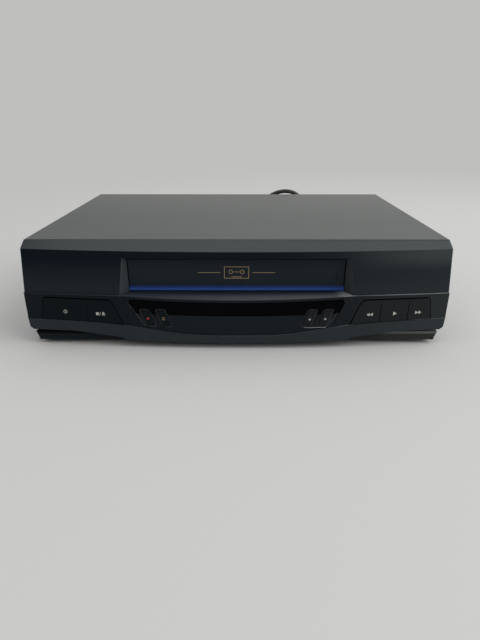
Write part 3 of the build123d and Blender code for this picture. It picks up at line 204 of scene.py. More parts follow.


# Tones by place, and by how far a face looks up or aside: painted light and shade. They stand in
# for a broad soft reflection that these lamps don't give, so they aren't wear, and they stay where
# they are in any light. The pale ones are painted reflections and highlights; the dark lower and
# brow tones are painted shade. Each has a colour, a strength and the stretches over which it comes
# in: where it starts and where it is full, in metres.
frontTones = {
    "lower": {"colour": (0.0035, 0.0065, 0.0100), "strength": 0.45, "least": 0.45,
              "width": (0.082, 0.100)},      # below the seam, most of all at the buttons
    "brow": {"colour": (0.0020, 0.0062, 0.0112), "strength": 0.75,
             "across": (0.13, 0.02), "up": (0.066, 0.081)},
    "foot": {"colour": (0.0250, 0.0300, 0.0400), "strength": 0.5, "up": (0.068, 0.052)},
    "corner": {"colour": (0.080, 0.088, 0.086), "strength": 0.7,
               "across": (0.08, 0.185), "up": (0.068, 0.084)},
    "right": {"colour": (0.0285, 0.0350, 0.0355), "strength": 0.8, "across": (0.05, 0.20)},
    "band": {"colour": (0.0340, 0.0435, 0.0490), "strength": 0.7},
    "flare": {"colour": (0.052, 0.060, 0.064), "strength": 0.9, "width": (0.112, 0.110)},
    "ledge": {"colour": (0.105, 0.110, 0.118), "strength": 0.75, "least": 0.15,
              "across": (-0.17, 0.07)},
    "ledgeEnd": {"colour": (0.27, 0.28, 0.285), "strength": 0.7,
                 "across": (0.086, 0.097), "width": (0.108, 0.100), "up": (0.053, 0.0515)},
    "seamEdge": {"colour": (0.27, 0.28, 0.285), "strength": 0.85,
                 "across": (0.10, 0.15), "up": (0.0515, 0.0505)},
    "shoulder": {"colour": (0.084, 0.096, 0.098), "strength": 0.75, "up": (0.0515, 0.053)},
}
frontPlaces = {
    "seam": (0.0485, 0.0495),       # height at which the lower moulding ends
    "level": (0.35, 0.95),          # how far a face looks up
    "aside": (0.25, 0.5),           # how far it looks to a side
    # the ledge's painted highlight fades out towards the door, which leaves painted shade under it
    "ledge": {"strength": 1.0, "back": (-0.1290, -0.1400), "up": (0.053, 0.0515)},
    "rightDrop": 0.5625,            # what the right end's tone loses above the seam
}
# upper edge of the band along the bottom, a shallow smile across the front
bandCurve = {"ends": 0.026, "dip": 0.0135, "reach": 0.082, "blur": (-0.0001, 0.0003)}
# painted reflection: the buttons grow lighter towards the right
buttonTone = {"colour": (0.0230, 0.0260, 0.0270), "strength": 0.8, "across": (-0.14, 0.18)}


def partsOf(tree, place):
    across, back, up = (place.part(axis) for axis in range(3))
    return {"across": across, "back": back, "up": up, "width": tree.maths("ABSOLUTE", across)}


def coverage(parts, tone):
    # how far a tone comes in: its strength times its share of each stretch that it names
    amount = tone["strength"]
    for name, part in parts.items():
        if name in tone:
            amount = part.between(*tone[name]) * amount
    return amount + tone["least"] if "least" in tone else amount


def frontLayer(tree, place, colour):
    parts = partsOf(tree, place)
    facing = tree.node("ShaderNodeTexCoord", {}, {}, "Normal")
    upper = parts["up"].between(*frontPlaces["seam"])
    level = facing.part(2).between(*frontPlaces["level"])
    aside = tree.maths("ABSOLUTE", facing.part(0)).between(*frontPlaces["aside"])
    square = (parts["across"] / bandCurve["reach"]) * (parts["across"] / bandCurve["reach"])
    bandEdge = bandCurve["ends"] - bandCurve["dip"] / (square * square + 1)
    within = {
        "lower": 1 - upper, "brow": upper, "foot": upper, "corner": upper,
        "right": 1 - upper * frontPlaces["rightDrop"],
        "band": (bandEdge - parts["up"]).between(*bandCurve["blur"]), "flare": aside * upper,
        "ledge": level * coverage(parts, frontPlaces["ledge"]),
        "ledgeEnd": level, "seamEdge": level, "shoulder": level,
    }
    for name, tone in frontTones.items():
        colour = (within[name] * coverage(parts, tone)).tint(colour, tone["colour"])
    return colour


def buttonLayer(tree, place, colour):
    return coverage(partsOf(tree, place), buttonTone).tint(colour, buttonTone["colour"])


# the pan's front below the moulding: a sloping top strip over an upright skirt, toned by place
# too with painted light and shade: darker on the left, lighter to the right, where the strip
# takes a painted highlight
panSetup = {
    "strip": {"left": (0.0012, 0.0022, 0.0040), "right": (0.120, 0.130, 0.128)},
    "skirt": {"left": (0.0140, 0.0175, 0.0210), "right": (0.0370, 0.0420, 0.0380)},
    "slope": (0.0102, 0.0106),      # height at which the strip starts
    "shown": (-0.105, -0.115),      # the tones stay at the front
    "across": (-0.06, 0.16),
}


def panLayer(tree, place, colour):
    parts = partsOf(tree, place)
    fade = parts["across"].between(*panSetup["across"])
    skirt, strip = (fade.tint(panSetup[name]["left"], panSetup[name]["right"])
                    for name in ("skirt", "strip"))
    front = parts["up"].between(*panSetup["slope"]).tint(skirt, strip)
    return parts["back"].between(*panSetup["shown"]).tint(colour, front)


# the cover's tones; the dust colour is also the colour of the painted sheen towards the rear
coverTones = {
    "dark": (0.098, 0.106, 0.103), "light": (0.116, 0.123, 0.118), "dust": (0.21, 0.215, 0.205),
    "far": {"strength": 0.30, "back": (-0.06, 0.15)},     # stands in for a paler shine far off
}


def coverPaint():
    material, tree, place = startFinish("coverPaint")
    orangePeel = place.grain(1500, 2, 0.6)
    cloud = place.grain(6, 3)
    scuff = place.stretched((60, 900, 900)).grain(1.0, 3).between(0.66, 0.8)
    dust = place.grain(700, 3, 0.7).between(0.7, 0.85)
    colour = cloud.tint(coverTones["dark"], coverTones["light"])
    far = coverage(partsOf(tree, place), coverTones["far"])
    # dust, scuffs and the painted sheen towards the rear all pale the colour
    colour = (scuff * 0.2 + dust * 0.3 + far).tint(colour, coverTones["dust"])
    shade(tree, colour, 0.46 + cloud * 0.08 - scuff * 0.06 + dust * 0.1, orangePeel, 0.00004,
          0.0006)
    return material


def windowPlastic():
    material, tree, place = startFinish("windowPlastic")
    haze = place.grain(30, 3)
    hairline = place.stretched((40, 900, 1600)).grain(1.0, 2).between(0.7, 0.78)
    shade(tree, haze.tint((0.0006, 0.0008, 0.0014), (0.0014, 0.0017, 0.0026)),
          0.09 + haze * 0.06 + hairline * 0.1, hairline, 0.00001, 0.0003,
          **{"Specular IOR Level": 0.03})
    return material


# lightest along its lower edge, which stands in for the shine on its rounding
stripSetup = {"dark": (0.003, 0.016, 0.090), "light": (0.090, 0.235, 0.86), "up": (0.0502, 0.0548)}


def blueStrip():
    material, tree, place = startFinish("blueStrip")
    height = place.part(2).between(*stripSetup["up"])
    speck = place.grain(1800, 2)
    glow = (1 - height) * (1 - height) * 0.92 + speck * 0.08
    colour = glow.tint(stripSetup["dark"], stripSetup["light"])
    shade(tree, colour, 0.24 + speck * 0.08, speck, 0.000008, 0.0002,
          **{"Specular IOR Level": 0.2})
    return material


def metalSheet(name, tone, rough=0.34, streak=(30, 500, 500)):
    # Zinc-plated sheet: rolling lines, clouding and fingerprints
    material, tree, place = startFinish(name)
    rolled = place.stretched(streak).grain(1.0, 4)
    cloud = place.grain(45, 4, 0.6)
    stain = place.grain(14, 3).between(0.55, 0.8)
    dark = [part * 0.72 for part in tone]
    colour = (cloud * 0.6 + rolled * 0.4).tint(dark, tone)
    shade(tree, colour, rolled * 0.16 + stain * 0.14 + rough, rolled, 0.00001, 0.0002,
          **{"Metallic": 1.0})
    return material


def turnedMetal(name, tone, centre, rough=0.18, pitch=9000):
    # Lathe-turned metal: fine rings round the axis at centre
    material, tree, place = startFinish(name)
    moved = place.node("ShaderNodeVectorMath", {"operation": "SUBTRACT"}, {0: place, 1: centre})
    flat = moved.node("ShaderNodeVectorMath", {"operation": "MULTIPLY"}, {0: moved, 1: (1, 1, 0)})
    radius = flat.node("ShaderNodeVectorMath", {"operation": "LENGTH"}, {0: flat}, 1)
    rings = tree.maths("SINE", radius * pitch) * 0.5 + 0.5
    cloud = place.grain(120, 3)
    colour = (rings * 0.3 + cloud * 0.7).tint([part * 0.8 for part in tone], tone)
    shade(tree, colour, rough + cloud * 0.1, rings, 0.000004, 0.0002, **{"Metallic": 1.0})
    return material


def circuitBoard(name, lacquer, copper):
    # Resin paper board: solder lacquer over copper tracks, tinned pads
    material, tree, place = startFinish(name)
    flat = place.stretched((1, 1, 0.001))
    track = tree.node("ShaderNodeTexVoronoi", {"feature": "DISTANCE_TO_EDGE"},
                      {"Vector": flat, "Scale": 160.0, "Randomness": 0.85}).between(0.035, 0.05)
    pad = 1 - tree.node("ShaderNodeTexVoronoi", {"feature": "F1"},
                        {"Vector": flat, "Scale": 210.0, "Randomness": 0.6}).between(0.2, 0.24)
    fibre = place.grain(1400, 3)
    colour = track.tint(lacquer, copper)
    colour = pad.tint(colour, (0.55, 0.55, 0.52))
    colour = (fibre * 0.25).tint(colour, (0.02, 0.02, 0.012))
    shade(tree, colour, 0.4 - pad * 0.1 + fibre * 0.15, track * 0.4 + pad, 0.00005, 0.0)
    return material


def softRubber(name, tone, rough=0.75):
    material, tree, place = startFinish(name)
    pore = place.grain(2200, 3, 0.6)
    bloom = place.grain(60, 4, 0.6).between(0.45, 0.8)
    light = [part * 1.6 + 0.006 for part in tone]
    colour = (pore * 0.5 + bloom * 0.5).tint(tone, light)
    shade(tree, colour, rough + bloom * 0.12, pore, 0.00004, 0.0003)
    return material


def cordSheath():
    # Extruded vinyl: nearly smooth, drawn slightly along its length, duller in patches
    material, tree, place = startFinish("cordSheath")
    drawn = place.grain(260, 3)
    speck = place.grain(1900, 2)
    dull = place.grain(38, 3, 0.6).between(0.45, 0.75)
    colour = (drawn * 0.5 + speck * 0.2).tint((0.026, 0.028, 0.028), (0.062, 0.065, 0.064))
    colour = (dull * 0.25).tint(colour, (0.07, 0.07, 0.068))
    shade(tree, colour, 0.42 + dull * 0.14 - drawn * 0.05, speck * 0.5 + drawn * 0.5, 0.00002)
    return material


def printedInk(name, tone, worn=0.25, gloss=0.3):
    # Pad-printed marks, slightly uneven and thin at the edges; also used for painted highlights
    # and painted shade
    material, tree, place = startFinish(name)
    patch = place.grain(1500, 3, 0.7)
    thin = patch.between(0.55, 0.75) * worn
    colour = thin.tint(tone, [part * 0.55 for part in tone])
    shade(tree, colour, 0.5 + patch * 0.15, patch, 0.000006, 0.0, **{"Specular IOR Level": gloss})
    return material


def glassTube():
    material, tree, place = startFinish("tubeGlass")
    segment = tree.node(
        "ShaderNodeTexBrick", {"offset": 0.0},
        {"Vector": place.stretched((110, 1, 160)), "Scale": 1.0, "Mortar Size": 0.1}, 1)
    film = place.grain(50, 3)
    colour = (segment * 0.4 + film * 0.3).tint((0.01, 0.014, 0.014), (0.05, 0.065, 0.06))
    shade(tree, colour, 0.08 + film * 0.1, film, 0.00001, 0.0002)
    return material


def capacitorSleeve():
    material, tree, place = startFinish("capacitorSleeve")
    band = place.part(0).grain(70, 1).between(0.48, 0.52)
    shrink = place.stretched((400, 400, 60)).grain(1.0, 3)
    colour = (band * 0.5 + shrink * 0.2).tint((0.012, 0.02, 0.06), (0.05, 0.08, 0.19))
    shade(tree, colour, 0.28 + shrink * 0.12, shrink, 0.00002, 0.0003)
    return material


def transformerCore():
    # Laminated iron with a taped winding between its limbs
    material, tree, place = startFinish("transformerCore")
    sheets = tree.maths("SINE", place.part(1) * 12600) * 0.5 + 0.5
    rust = place.grain(160, 4, 0.7).between(0.5, 0.8)
    colour = (sheets * 0.4 + rust * 0.6).tint((0.09, 0.09, 0.09), (0.2, 0.15, 0.1))
    shade(tree, colour, 0.5 + rust * 0.3 - sheets * 0.1, sheets, 0.00004, 0.0003,
          **{"Metallic": 0.7})
    return material


def beltRubber():
    material, tree, place = startFinish("beltRubber")
    chalk = place.grain(700, 3, 0.6)
    shade(tree, chalk.tint((0.006, 0.006, 0.006), (0.02, 0.02, 0.019)),
          0.62 + chalk * 0.2, chalk, 0.00002, 0.0)
    return material


finishes = {
    "cover_paint": coverPaint(),
    "front_plastic": mouldedPlastic("frontPlastic", (0.0088, 0.0142, 0.0200),
                                    (0.0130, 0.0195, 0.0255), 0.38, gloss=0.13, layer=frontLayer),
    "door_plastic": mouldedPlastic("doorPlastic", (0.0125, 0.0190, 0.0270),
                                   (0.0180, 0.0250, 0.0330), 0.5, 0.00002, gloss=0.14),
    "button_plastic": mouldedPlastic("buttonPlastic", (0.0040, 0.0080, 0.0110),
                                     (0.0065, 0.0110, 0.0140), 0.42, 0.00002, 0.0003,
                                     gloss=0.06, layer=buttonLayer),
    "pan_plastic": mouldedPlastic("panPlastic", (0.010, 0.0115, 0.012), (0.015, 0.0165, 0.017),
                                  0.6, 0.00004, gloss=0.06, layer=panLayer),
    "window_plastic": windowPlastic(),
    "blue_strip": blueStrip(),
    "plated_steel": metalSheet("platedSteel", (0.60, 0.60, 0.56)),
    "screw_black": metalSheet("screwBlack", (0.055, 0.055, 0.055), 0.32, (300, 300, 300)),
    "board": circuitBoard("circuitBoard", (0.012, 0.055, 0.022), (0.03, 0.11, 0.045)),
    "rubber": softRubber("footRubber", (0.012, 0.012, 0.012)),
    "switch": mouldedPlastic("switchPlastic", (0.012, 0.012, 0.013), (0.024, 0.024, 0.026), 0.4),
    "tube_glass": glassTube(),
    "white_plastic": mouldedPlastic("whitePlastic", (0.52, 0.50, 0.43), (0.66, 0.64, 0.56), 0.42),
    "yellow_plastic": mouldedPlastic("yellowPlastic", (0.50, 0.31, 0.012), (0.64, 0.43, 0.03), 0.4),
    "belt_rubber": beltRubber(),
    "nickel": metalSheet("nickelPlate", (0.66, 0.63, 0.56), 0.2, (400, 400, 400)),
    "drum_metal": turnedMetal("drumMetal", (0.70, 0.70, 0.70), (-0.008, 0.052, 0)),
    "core": transformerCore(),
    "heat_sink_metal": metalSheet("heatSinkMetal", (0.50, 0.50, 0.51), 0.3, (500, 500, 40)),
    "capacitor": capacitorSleeve(),
    "brass": metalSheet("brass", (0.62, 0.46, 0.20), 0.2, (400, 400, 400)),
    "cord_plastic": cordSheath(),
}
ink = {
    "gold": printedInk("goldInk", (0.40, 0.29, 0.15)),
    "cream": printedInk("creamInk", (0.58, 0.56, 0.50)),
    "pale": printedInk("paleInk", (0.56, 0.57, 0.56)),
    "red": printedInk("redInk", (0.40, 0.03, 0.035)),
    "dark": printedInk("darkInk", (0.0008, 0.0008, 0.0012), gloss=0.01),
    # painted highlight along the rims of the keys and the field's ends
    "rim": printedInk("rimHighlight", (0.085, 0.090, 0.090)),
    "black": printedInk("blackPaint", (0.012, 0.012, 0.013), 0.6),
    "plate": printedInk("platePaint", (0.33, 0.33, 0.31), 0.35),
}
print("materials made:", len(finishes) + len(ink))


# modelling helpers; shapes are drawn in millimetres and scaled at the end
creaseAngle = 35       # degrees at which two faces stop being smooth across their edge


def edgesOf(verts):
    return list({edge for vert in verts for edge in vert.link_edges})


def softenEdges(shape, edges, radius, segments=2):
    bmesh.ops.bevel(shape, geom=edges, offset=radius, segments=segments, profile=0.5,
                    affect="EDGES", material=-1)


def box(shape, low, high):
    made = bmesh.ops.create_cube(shape, size=1)["verts"]
    bmesh.ops.scale(shape, vec=[b - a for a, b in zip(low, high)], verts=made)
    bmesh.ops.translate(shape, vec=[(a + b) / 2 for a, b in zip(low, high)], verts=made)
    return made


def rod(shape, start, end, radius, sides):
    start, end = Vector(start), Vector(end)
    along = end - start
    turn = along.to_track_quat("Z", "Y").to_matrix().to_4x4()
    bmesh.ops.create_cone(shape, cap_ends=True, segments=sides, radius1=radius, radius2=radius,
                          depth=along.length, matrix=Matrix.Translation((start + end) / 2) @ turn)


def spun(shape, profile, centre, axis, steps=40):
    # profile: (radius, distance along the axis), turned once round the axis
    centre, axis = Vector(centre), Vector(axis).normalized()
    side = axis.orthogonal().normalized()
    verts = [shape.verts.new(centre + side * radius + axis * along) for radius, along in profile]
    edges = [shape.edges.new(pair) for pair in zip(verts, verts[1:])]
    bmesh.ops.spin(shape, geom=verts + edges, cent=centre, axis=axis, angle=math.tau,
                   steps=steps, use_merge=True)


def placeShape(shape, name, scale=0.001):
    bmesh.ops.scale(shape, vec=(scale, scale, scale), verts=shape.verts)
    mesh = bpy.data.meshes.new(name)
    shape.to_mesh(mesh)
    shape.free()
    piece = bpy.data.objects.new(name, mesh)
    bpy.context.collection.objects.link(piece)
    return piece


def finishPiece(shape, name, slot, replaced=(), body="case", finish=None):
    bmesh.ops.remove_doubles(shape, verts=shape.verts, dist=0.0004)
    bmesh.ops.recalc_face_normals(shape, faces=shape.faces)
    piece = placeShape(shape, name)
    piece.data.shade_smooth()
    piece.data.set_sharp_from_angle(angle=math.radians(creaseAngle))
    piece.data.materials.append(finish or finishes[slot])
    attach(piece, body)
    if replaced:
        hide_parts(*replaced)
    return piece


def carve(piece, shape):
    # cuts a shape out of a piece and keeps the result in its mesh; the shape's parts may cross
    cutter = placeShape(shape, "cutter")
    modifier = piece.modifiers.new("carve", "BOOLEAN")
    modifier.operation = "DIFFERENCE"
    modifier.solver = "EXACT"
    modifier.use_self = True
    modifier.object = cutter
    graph = bpy.context.evaluated_depsgraph_get()
    result = bpy.data.meshes.new_from_object(piece.evaluated_get(graph))
    piece.modifiers.clear()
    piece.data = result
    bpy.data.objects.remove(cutter)


# mains cord, in metres: the lead's points, a tied coil behind the case, then the tail
cordSetup = {
    "exit": (0.122, 0.1594, 0.026),
    "diameter": 0.0054,
    "length": 1.8,
    "lead": [(0.1218, 0.177, 0.0248), (0.119, 0.196, 0.019), (0.1115, 0.213, 0.0115),
             (0.097, 0.227, 0.0052), (0.0775, 0.235, 0.0027), (0.054, 0.236, 0.0027),
             (0.030, 0.230, 0.0027), (0.008, 0.217, 0.0027), (-0.006, 0.1965, 0.0027),
             (-0.0065, 0.173, 0.0027), (0.0085, 0.1565, 0.0027), (0.0315, 0.152, 0.0027),
             (0.050, 0.1504, 0.0034)],
    "tail": [(0.062, 0.1556, 0.0081), (0.075, 0.1563, 0.005), (0.090, 0.1555, 0.0032),
             (0.108, 0.1515, 0.006), (0.126, 0.1505, 0.0065)],
    "coilMiddle": (0.062, 0.049),
    "straight": 0.013,     # half the straight part of each side
    "lean": 0.004,         # how far the tops lie to the right
    "outer": 0.0333,       # radii of the coil's rings
    "inner": 0.0279,
    "back": 0.1502,        # y of its layers
    "middle": 0.1448,
    "front": 0.1394,
    "last": 0.1556,
    "turns": [             # ring and layer before and after, the top's rise, where it crosses over
        ("outer", "back", "outer", "middle", 0.0008, 0.86),
        ("outer", "middle", "outer", "front", -0.0066, 0.86),
        ("outer", "front", "inner", "front", -0.0072, 0.74),
        ("inner", "front", "inner", "middle", -0.0072, 0.62),
        ("inner", "middle", "inner", "back", -0.0066, 0.62),
        ("inner", "back", "inner", "last", -0.0060, 0.62),
    ],
    "crossing": 0.12,      # share of a turn over which it crosses
    "turnPoints": 16,
    "overshoot": 0.981,    # the curve runs this far out towards its control points
}


def eased(value, low, high):
    share = min(max((value - low) / (high - low), 0.0), 1.0)
    return share * share * (3 - 2 * share)


def coilPoints(setup):
    acrossMiddle, upMiddle = setup["coilMiddle"]
    points = []
    for *ends, rise, cross in setup["turns"]:
        ring, layer, nextRing, nextLayer = (setup[name] for name in ends)
        for count in range(setup["turnPoints"]):
            turned = count / setup["turnPoints"]
            moved = eased(turned, cross, cross + setup["crossing"])
            radius = (ring + (nextRing - ring) * moved) / setup["overshoot"]
            angle = math.tau * (turned - 0.25)
            high = math.sin(angle)
            side = -setup["straight"] if high < 0 else setup["straight"] + rise
            side *= abs(high) > 0.01       # the points at half height stay in the middle
            lean = setup["lean"] * max(high, 0) ** 2
            points.append((acrossMiddle + radius * math.cos(angle) + lean,
                           layer + (nextLayer - layer) * moved, upMiddle + side + radius * high))
    return points


def makeCord(setup):
    points = [setup["exit"], *setup["lead"], *coilPoints(setup), *setup["tail"]]
    data = bpy.data.curves.new("mainsCord", "CURVE")
    data.dimensions = "3D"
    data.bevel_depth = setup["diameter"] / 2
    data.bevel_resolution = 5
    data.resolution_u = 8
    data.use_fill_caps = True
    spline = data.splines.new("NURBS")
    spline.points.add(len(points) - 1)
    for point, place in zip(spline.points, points):
        point.co = (*place, 1)
    spline.order_u = 3
    spline.use_endpoint_u = True
    piece = bpy.data.objects.new("mainsCord", data)
    bpy.context.collection.objects.link(piece)
    data.materials.append(finishes["cord_plastic"])
    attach(piece, "case")
    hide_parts("power_cord", "cord_coil")
    return piece


# moulded plug: neck, waisted body with grip ribs, two flat blades
plugSetup = {
    "centre": (150.5, 6.5),    # y and z of its axis
    "sections": [              # x, half width, half height
        (124.5, 3.3, 3.3), (128, 3.6, 3.5), (131, 4.3, 3.9), (134, 6.6, 4.9), (136, 8.2, 5.5),
        (139, 8.9, 5.8), (142, 9.2, 5.9), (147, 9.6, 6.1), (152, 10.4, 6.4), (156, 10.9, 6.5),
        (158, 10.6, 6.2),
    ],
    "ribs": (139.5, 142.5, 145.5, 148.5),      # x of the grooves of the grip
    "rib": ((-0.8, 0.0), (-0.5, 0.55), (0.5, 0.55), (0.8, 0.0)),     # across it, and how deep
    "endCorner": 0.8,
    "bladeGap": 6.35,          # half the distance between the blades
    "blade": {"x": (156.0, 174.0), "thick": 1.5, "tall": 6.3, "corner": 1.4},
    "hole": (170.0, 1.5),      # x and radius
}


def squircle(shape, x, width, height, centre, points=36, power=3.2):
    made = bmesh.ops.create_circle(shape, cap_ends=False, segments=points, radius=1)["verts"]
    for vert in made:
        across, up = vert.co.x, vert.co.y
        swell = (abs(across) ** power + abs(up) ** power) ** (-1 / power)
        vert.co = (x, centre[0] + across * swell * width, centre[1] + up * swell * height)
    return edgesOf(made)


def makePlug(setup):
    shape = bmesh.new()
    sections = list(setup["sections"])
    for rib in setup["ribs"]:
        for offset, inset in setup["rib"]:
            x = rib + offset
            for before, after in zip(setup["sections"], setup["sections"][1:]):
                if before[0] <= x <= after[0]:
                    share = (x - before[0]) / (after[0] - before[0])
                    sections.append((x, *(a + (b - a) * share - inset
                                          for a, b in zip(before[1:], after[1:]))))
                    break
    sections.sort()
    rings = [squircle(shape, *section, setup["centre"]) for section in sections]
    for first, second in zip(rings, rings[1:]):
        bmesh.ops.bridge_loops(shape, edges=first + second)
    for ring in (rings[0], rings[-1]):
        bmesh.ops.contextual_create(shape, geom=ring)
    softenEdges(shape, rings[-1], setup["endCorner"], 3)
    body = finishPiece(shape, "plugBody", "cord_plastic", ("power_plug",))
    shape, cutter = bmesh.new(), bmesh.new()
    middle, level = setup["centre"]
    blade, (holeX, holeRadius) = setup["blade"], setup["hole"]
    root, tip = blade["x"]
    thick, tall = blade["thick"] / 2, blade["tall"] / 2
    for side in (middle - setup["bladeGap"], middle + setup["bladeGap"]):
        made = box(shape, (root, side - thick, level - tall), (tip, side + thick, level + tall))
        end = [vert for vert in made if vert.co.x > (root + tip) / 2]
        corners = [edge for edge in edgesOf(end) if all(vert in end for vert in edge.verts)
                   and abs(edge.verts[0].co.z - edge.verts[1].co.z) < 0.1]
        softenEdges(shape, corners, blade["corner"], 3)
        rod(cutter, (holeX, side - 3, level), (holeX, side + 3, level), holeRadius, 24)
    blades = finishPiece(shape, "plugBlades", "brass")
    carve(blades, cutter)
    return body, blades


# ribbed strain relief pressed into the rear of the case
gripSetup = {
    "centre": (122, 0, 26), "start": 135.4, "end": 159.4,
    "flange": [(0, -3), (5.4, -3), (5.4, 0), (6.3, 0), (6.6, 0.4), (6.6, 1.1), (6.1, 1.6),
               (5.6, 1.8), (4.9, 2.6)],                    # radius, distance from the start
    "tip": [(3.6, -1.2), (3.4, -0.3), (2.75, 0), (0, 0)],  # radius, distance from the end
    "sleeve": (4.7, 3.6), "ribs": 6, "ribsInset": (4, 1.5),
    "rib": [(0, 0), (0.15, 0.5), (0.9, 0.58), (0.95, 0.88)],     # depth, share of the pitch
}


def makeGrip(setup):
    start, end, count = setup["start"], setup["end"], setup["ribs"]
    wide, narrow = setup["sleeve"]
    profile = [(radius, start + along) for radius, along in setup["flange"]]
    first = start + setup["ribsInset"][0]
    pitch = (end - setup["ribsInset"][1] - first) / count
    for rib in range(count):
        radius = wide + (narrow - wide) * rib / (count - 1)
        profile += [(radius - depth, first + rib * pitch + pitch * share)
                    for depth, share in setup["rib"]]
    profile += [(radius, end + along) for radius, along in setup["tip"]]
    shape = bmesh.new()
    spun(shape, profile, setup["centre"], (0, 1, 0), 40)
    return finishPiece(shape, "strainRelief", "rubber", ("cord_grip",))


# tie round the coil's right side
tieSetup = {
    "low": (89.6, 135.9, 44.5), "high": (102.4, 155.1, 53.5), "wall": 0.9, "corner": 4.2,
    "buckle": {"y": (139, 151), "inside": 0.2, "outside": 1.5, "corner": 0.5},
}


def makeTie(setup):
    shape = bmesh.new()
    made = box(shape, setup["low"], setup["high"])
    upright = [edge for edge in edgesOf(made)
               if abs(edge.verts[0].co.z - edge.verts[1].co.z) > 1]
    softenEdges(shape, upright, setup["corner"], 6)
    caps = [face for face in shape.faces if abs(face.normal.z) > 0.9]
    bmesh.ops.delete(shape, geom=caps, context="FACES_ONLY")
    bmesh.ops.recalc_face_normals(shape, faces=shape.faces)
    bmesh.ops.solidify(shape, geom=list(shape.faces), thickness=-setup["wall"])
    buckle, side = setup["buckle"], setup["high"][0]
    made = box(shape, (side - buckle["inside"], buckle["y"][0], setup["low"][2]),
               (side + buckle["outside"], buckle["y"][1], setup["high"][2]))
    softenEdges(shape, edgesOf(made), buckle["corner"])
    return finishPiece(shape, "cordTie", "rubber")


mainsCord = makeCord(cordSetup)
plugPieces = makePlug(plugSetup)
strainRelief = makeGrip(gripSetup)
cordTie = makeTie(tieSetup)
print("cord, plug and strain relief made")


# pan heads with a cross recess
screwSetup = {
    "radius": 3.6, "height": 1.3, "slot": (0.75, 4.1), "depth": 0.9,
    "places": [((side * 188.5, y, 14.6), (side, 0, 0)) for side in (-1, 1) for y in (-57.5, 90.4)]
              + [((side * 176.5, 136.4, 89.5), (0, 1, 0)) for side in (-1, 1)],
}
panelScrewSetup = {
    "radius": 2.7, "height": 1.0, "slot": (0.6, 3.2), "depth": 0.7,
    "places": [((x, 135.4, z), (0, 1, 0)) for x, z in
               ((-181, 14), (-181, 70), (-120, 14), (-56, 32), (-108, 32), (-20, 14), (12, 14),
                (134, 12), (181, 14), (181, 70), (20, 80))],
}
screwDome = [(0.9, 0.72), (0.7, 0.92), (0.4, 1), (0, 1)]     # shares of a head's radius and height


def makeScrews(setup, name, replaced):
    shape, cutter = bmesh.new(), bmesh.new()
    radius, height = setup["radius"], setup["height"]
    profile = [(0, -1.2), (radius * 0.5, -1.2), (radius * 0.5, 0), (radius - 0.1, 0),
               (radius, 0.12), (radius, 0.4)]
    profile += [(radius * out, height * up) for out, up in screwDome]
    thin, long = (size / 2 for size in setup["slot"])
    deep = setup["depth"]
    for number, (place, axis) in enumerate(setup["places"]):
        spun(shape, profile, place, axis, 32)
        turn = Matrix.Rotation(0.5 + number * 1.1, 4, "Z")
        facing = Vector(axis).to_track_quat("Z", "Y").to_matrix().to_4x4()
        where = Matrix.Translation(Vector(place) + Vector(axis) * height) @ facing @ turn
        for across, along in ((thin, long), (long, thin)):
            made = box(cutter, (-across, -along, -deep), (across, along, deep))
            bmesh.ops.transform(cutter, matrix=where, verts=made)
    piece = finishPiece(shape, name, "screw_black", replaced)
    carve(piece, cutter)


makeScrews(screwSetup, "coverScrews", ("cover_screws",))
makeScrews(panelScrewSetup, "panelScrews", ())
print("screws made")


# sockets: plated shells, coloured collars and white centres; threads and nuts on the aerial pair
socketSetup = {
    "phono": {"yellow": [(-90, 40), (-74, 40)], "white": [(-90, 24), (-74, 24)]},
    "aerial": [(-153.5, 24), (-153.5, 44)],
    # closed profiles: radius and y
    "shell": [(3.9, 136.9), (4.32, 136.9), (4.32, 144.6), (4.15, 145.03), (3.3, 145.03),
              (3.3, 144.6), (3.9, 144.6), (3.9, 136.9)],
    "collar": [(4.0, 136.4), (6.1, 136.4), (6.3, 136.6), (6.3, 137.1), (6.0, 137.4),
               (4.35, 137.4), (4.0, 137.2), (4.0, 136.4)],
    "phonoCentre": [(1.8, 144.5), (3.25, 144.5), (3.25, 145.02), (1.95, 145.02), (1.8, 144.9),
                    (1.8, 144.5)],
    "aerialCentre": [(1.2, 144.5), (3.1, 144.5), (3.1, 145.02), (1.3, 145.02), (1.2, 144.9),
                     (1.2, 144.5)],
    "nut": {"y": (136.6, 138.8), "radius": 6.6, "corner": 0.35},
    "thread": {"start": 139.0, "pitch": 0.6, "turns": 9, "bore": 4.3, "root": 4.65, "crest": 4.98,
               "flat": (0.22, 0.32)},
}


def makeRings(name, profile, places, slot, finish=None):
    shape = bmesh.new()
    for x, z in places:
        spun(shape, profile, (x, 0, z), (0, 1, 0), 32)
    finishPiece(shape, name, slot, finish=finish)


def makeSockets(setup):
    phono, aerial = setup["phono"], setup["aerial"]
    everyPhono = phono["yellow"] + phono["white"]
    makeRings("phonoShells", setup["shell"], everyPhono, "nickel")
    makeRings("phonoCentres", setup["phonoCentre"], everyPhono, "white_plastic")
    makeRings("videoCollars", setup["collar"], phono["yellow"], "white_plastic",
              finishes["yellow_plastic"])
    makeRings("audioCollars", setup["collar"], phono["white"], "white_plastic")
    makeRings("aerialCentres", setup["aerialCentre"], aerial, "white_plastic")
    thread, nut = setup["thread"], setup["nut"]
    start, root, crest = thread["start"], thread["root"], thread["crest"]
    profile = [(thread["bore"], start - 0.2), (root, start - 0.2)]
    for turn in range(thread["turns"]):
        along = start + turn * thread["pitch"]
        profile += [(root, along)] + [(crest, along + flat) for flat in thread["flat"]]
    end = start + thread["turns"] * thread["pitch"]
    profile += [(root, end), (thread["bore"], end), profile[0]]
    makeRings("aerialThreads", profile, aerial, "nickel")
    shape = bmesh.new()
    for x, z in aerial:
        rod(shape, (x, nut["y"][0], z), (x, nut["y"][1], z), nut["radius"], 6)
    softenEdges(shape, list(shape.edges), nut["corner"])
    finishPiece(shape, "aerialNuts", "nickel")


makeSockets(socketSetup)
print("sockets dressed")
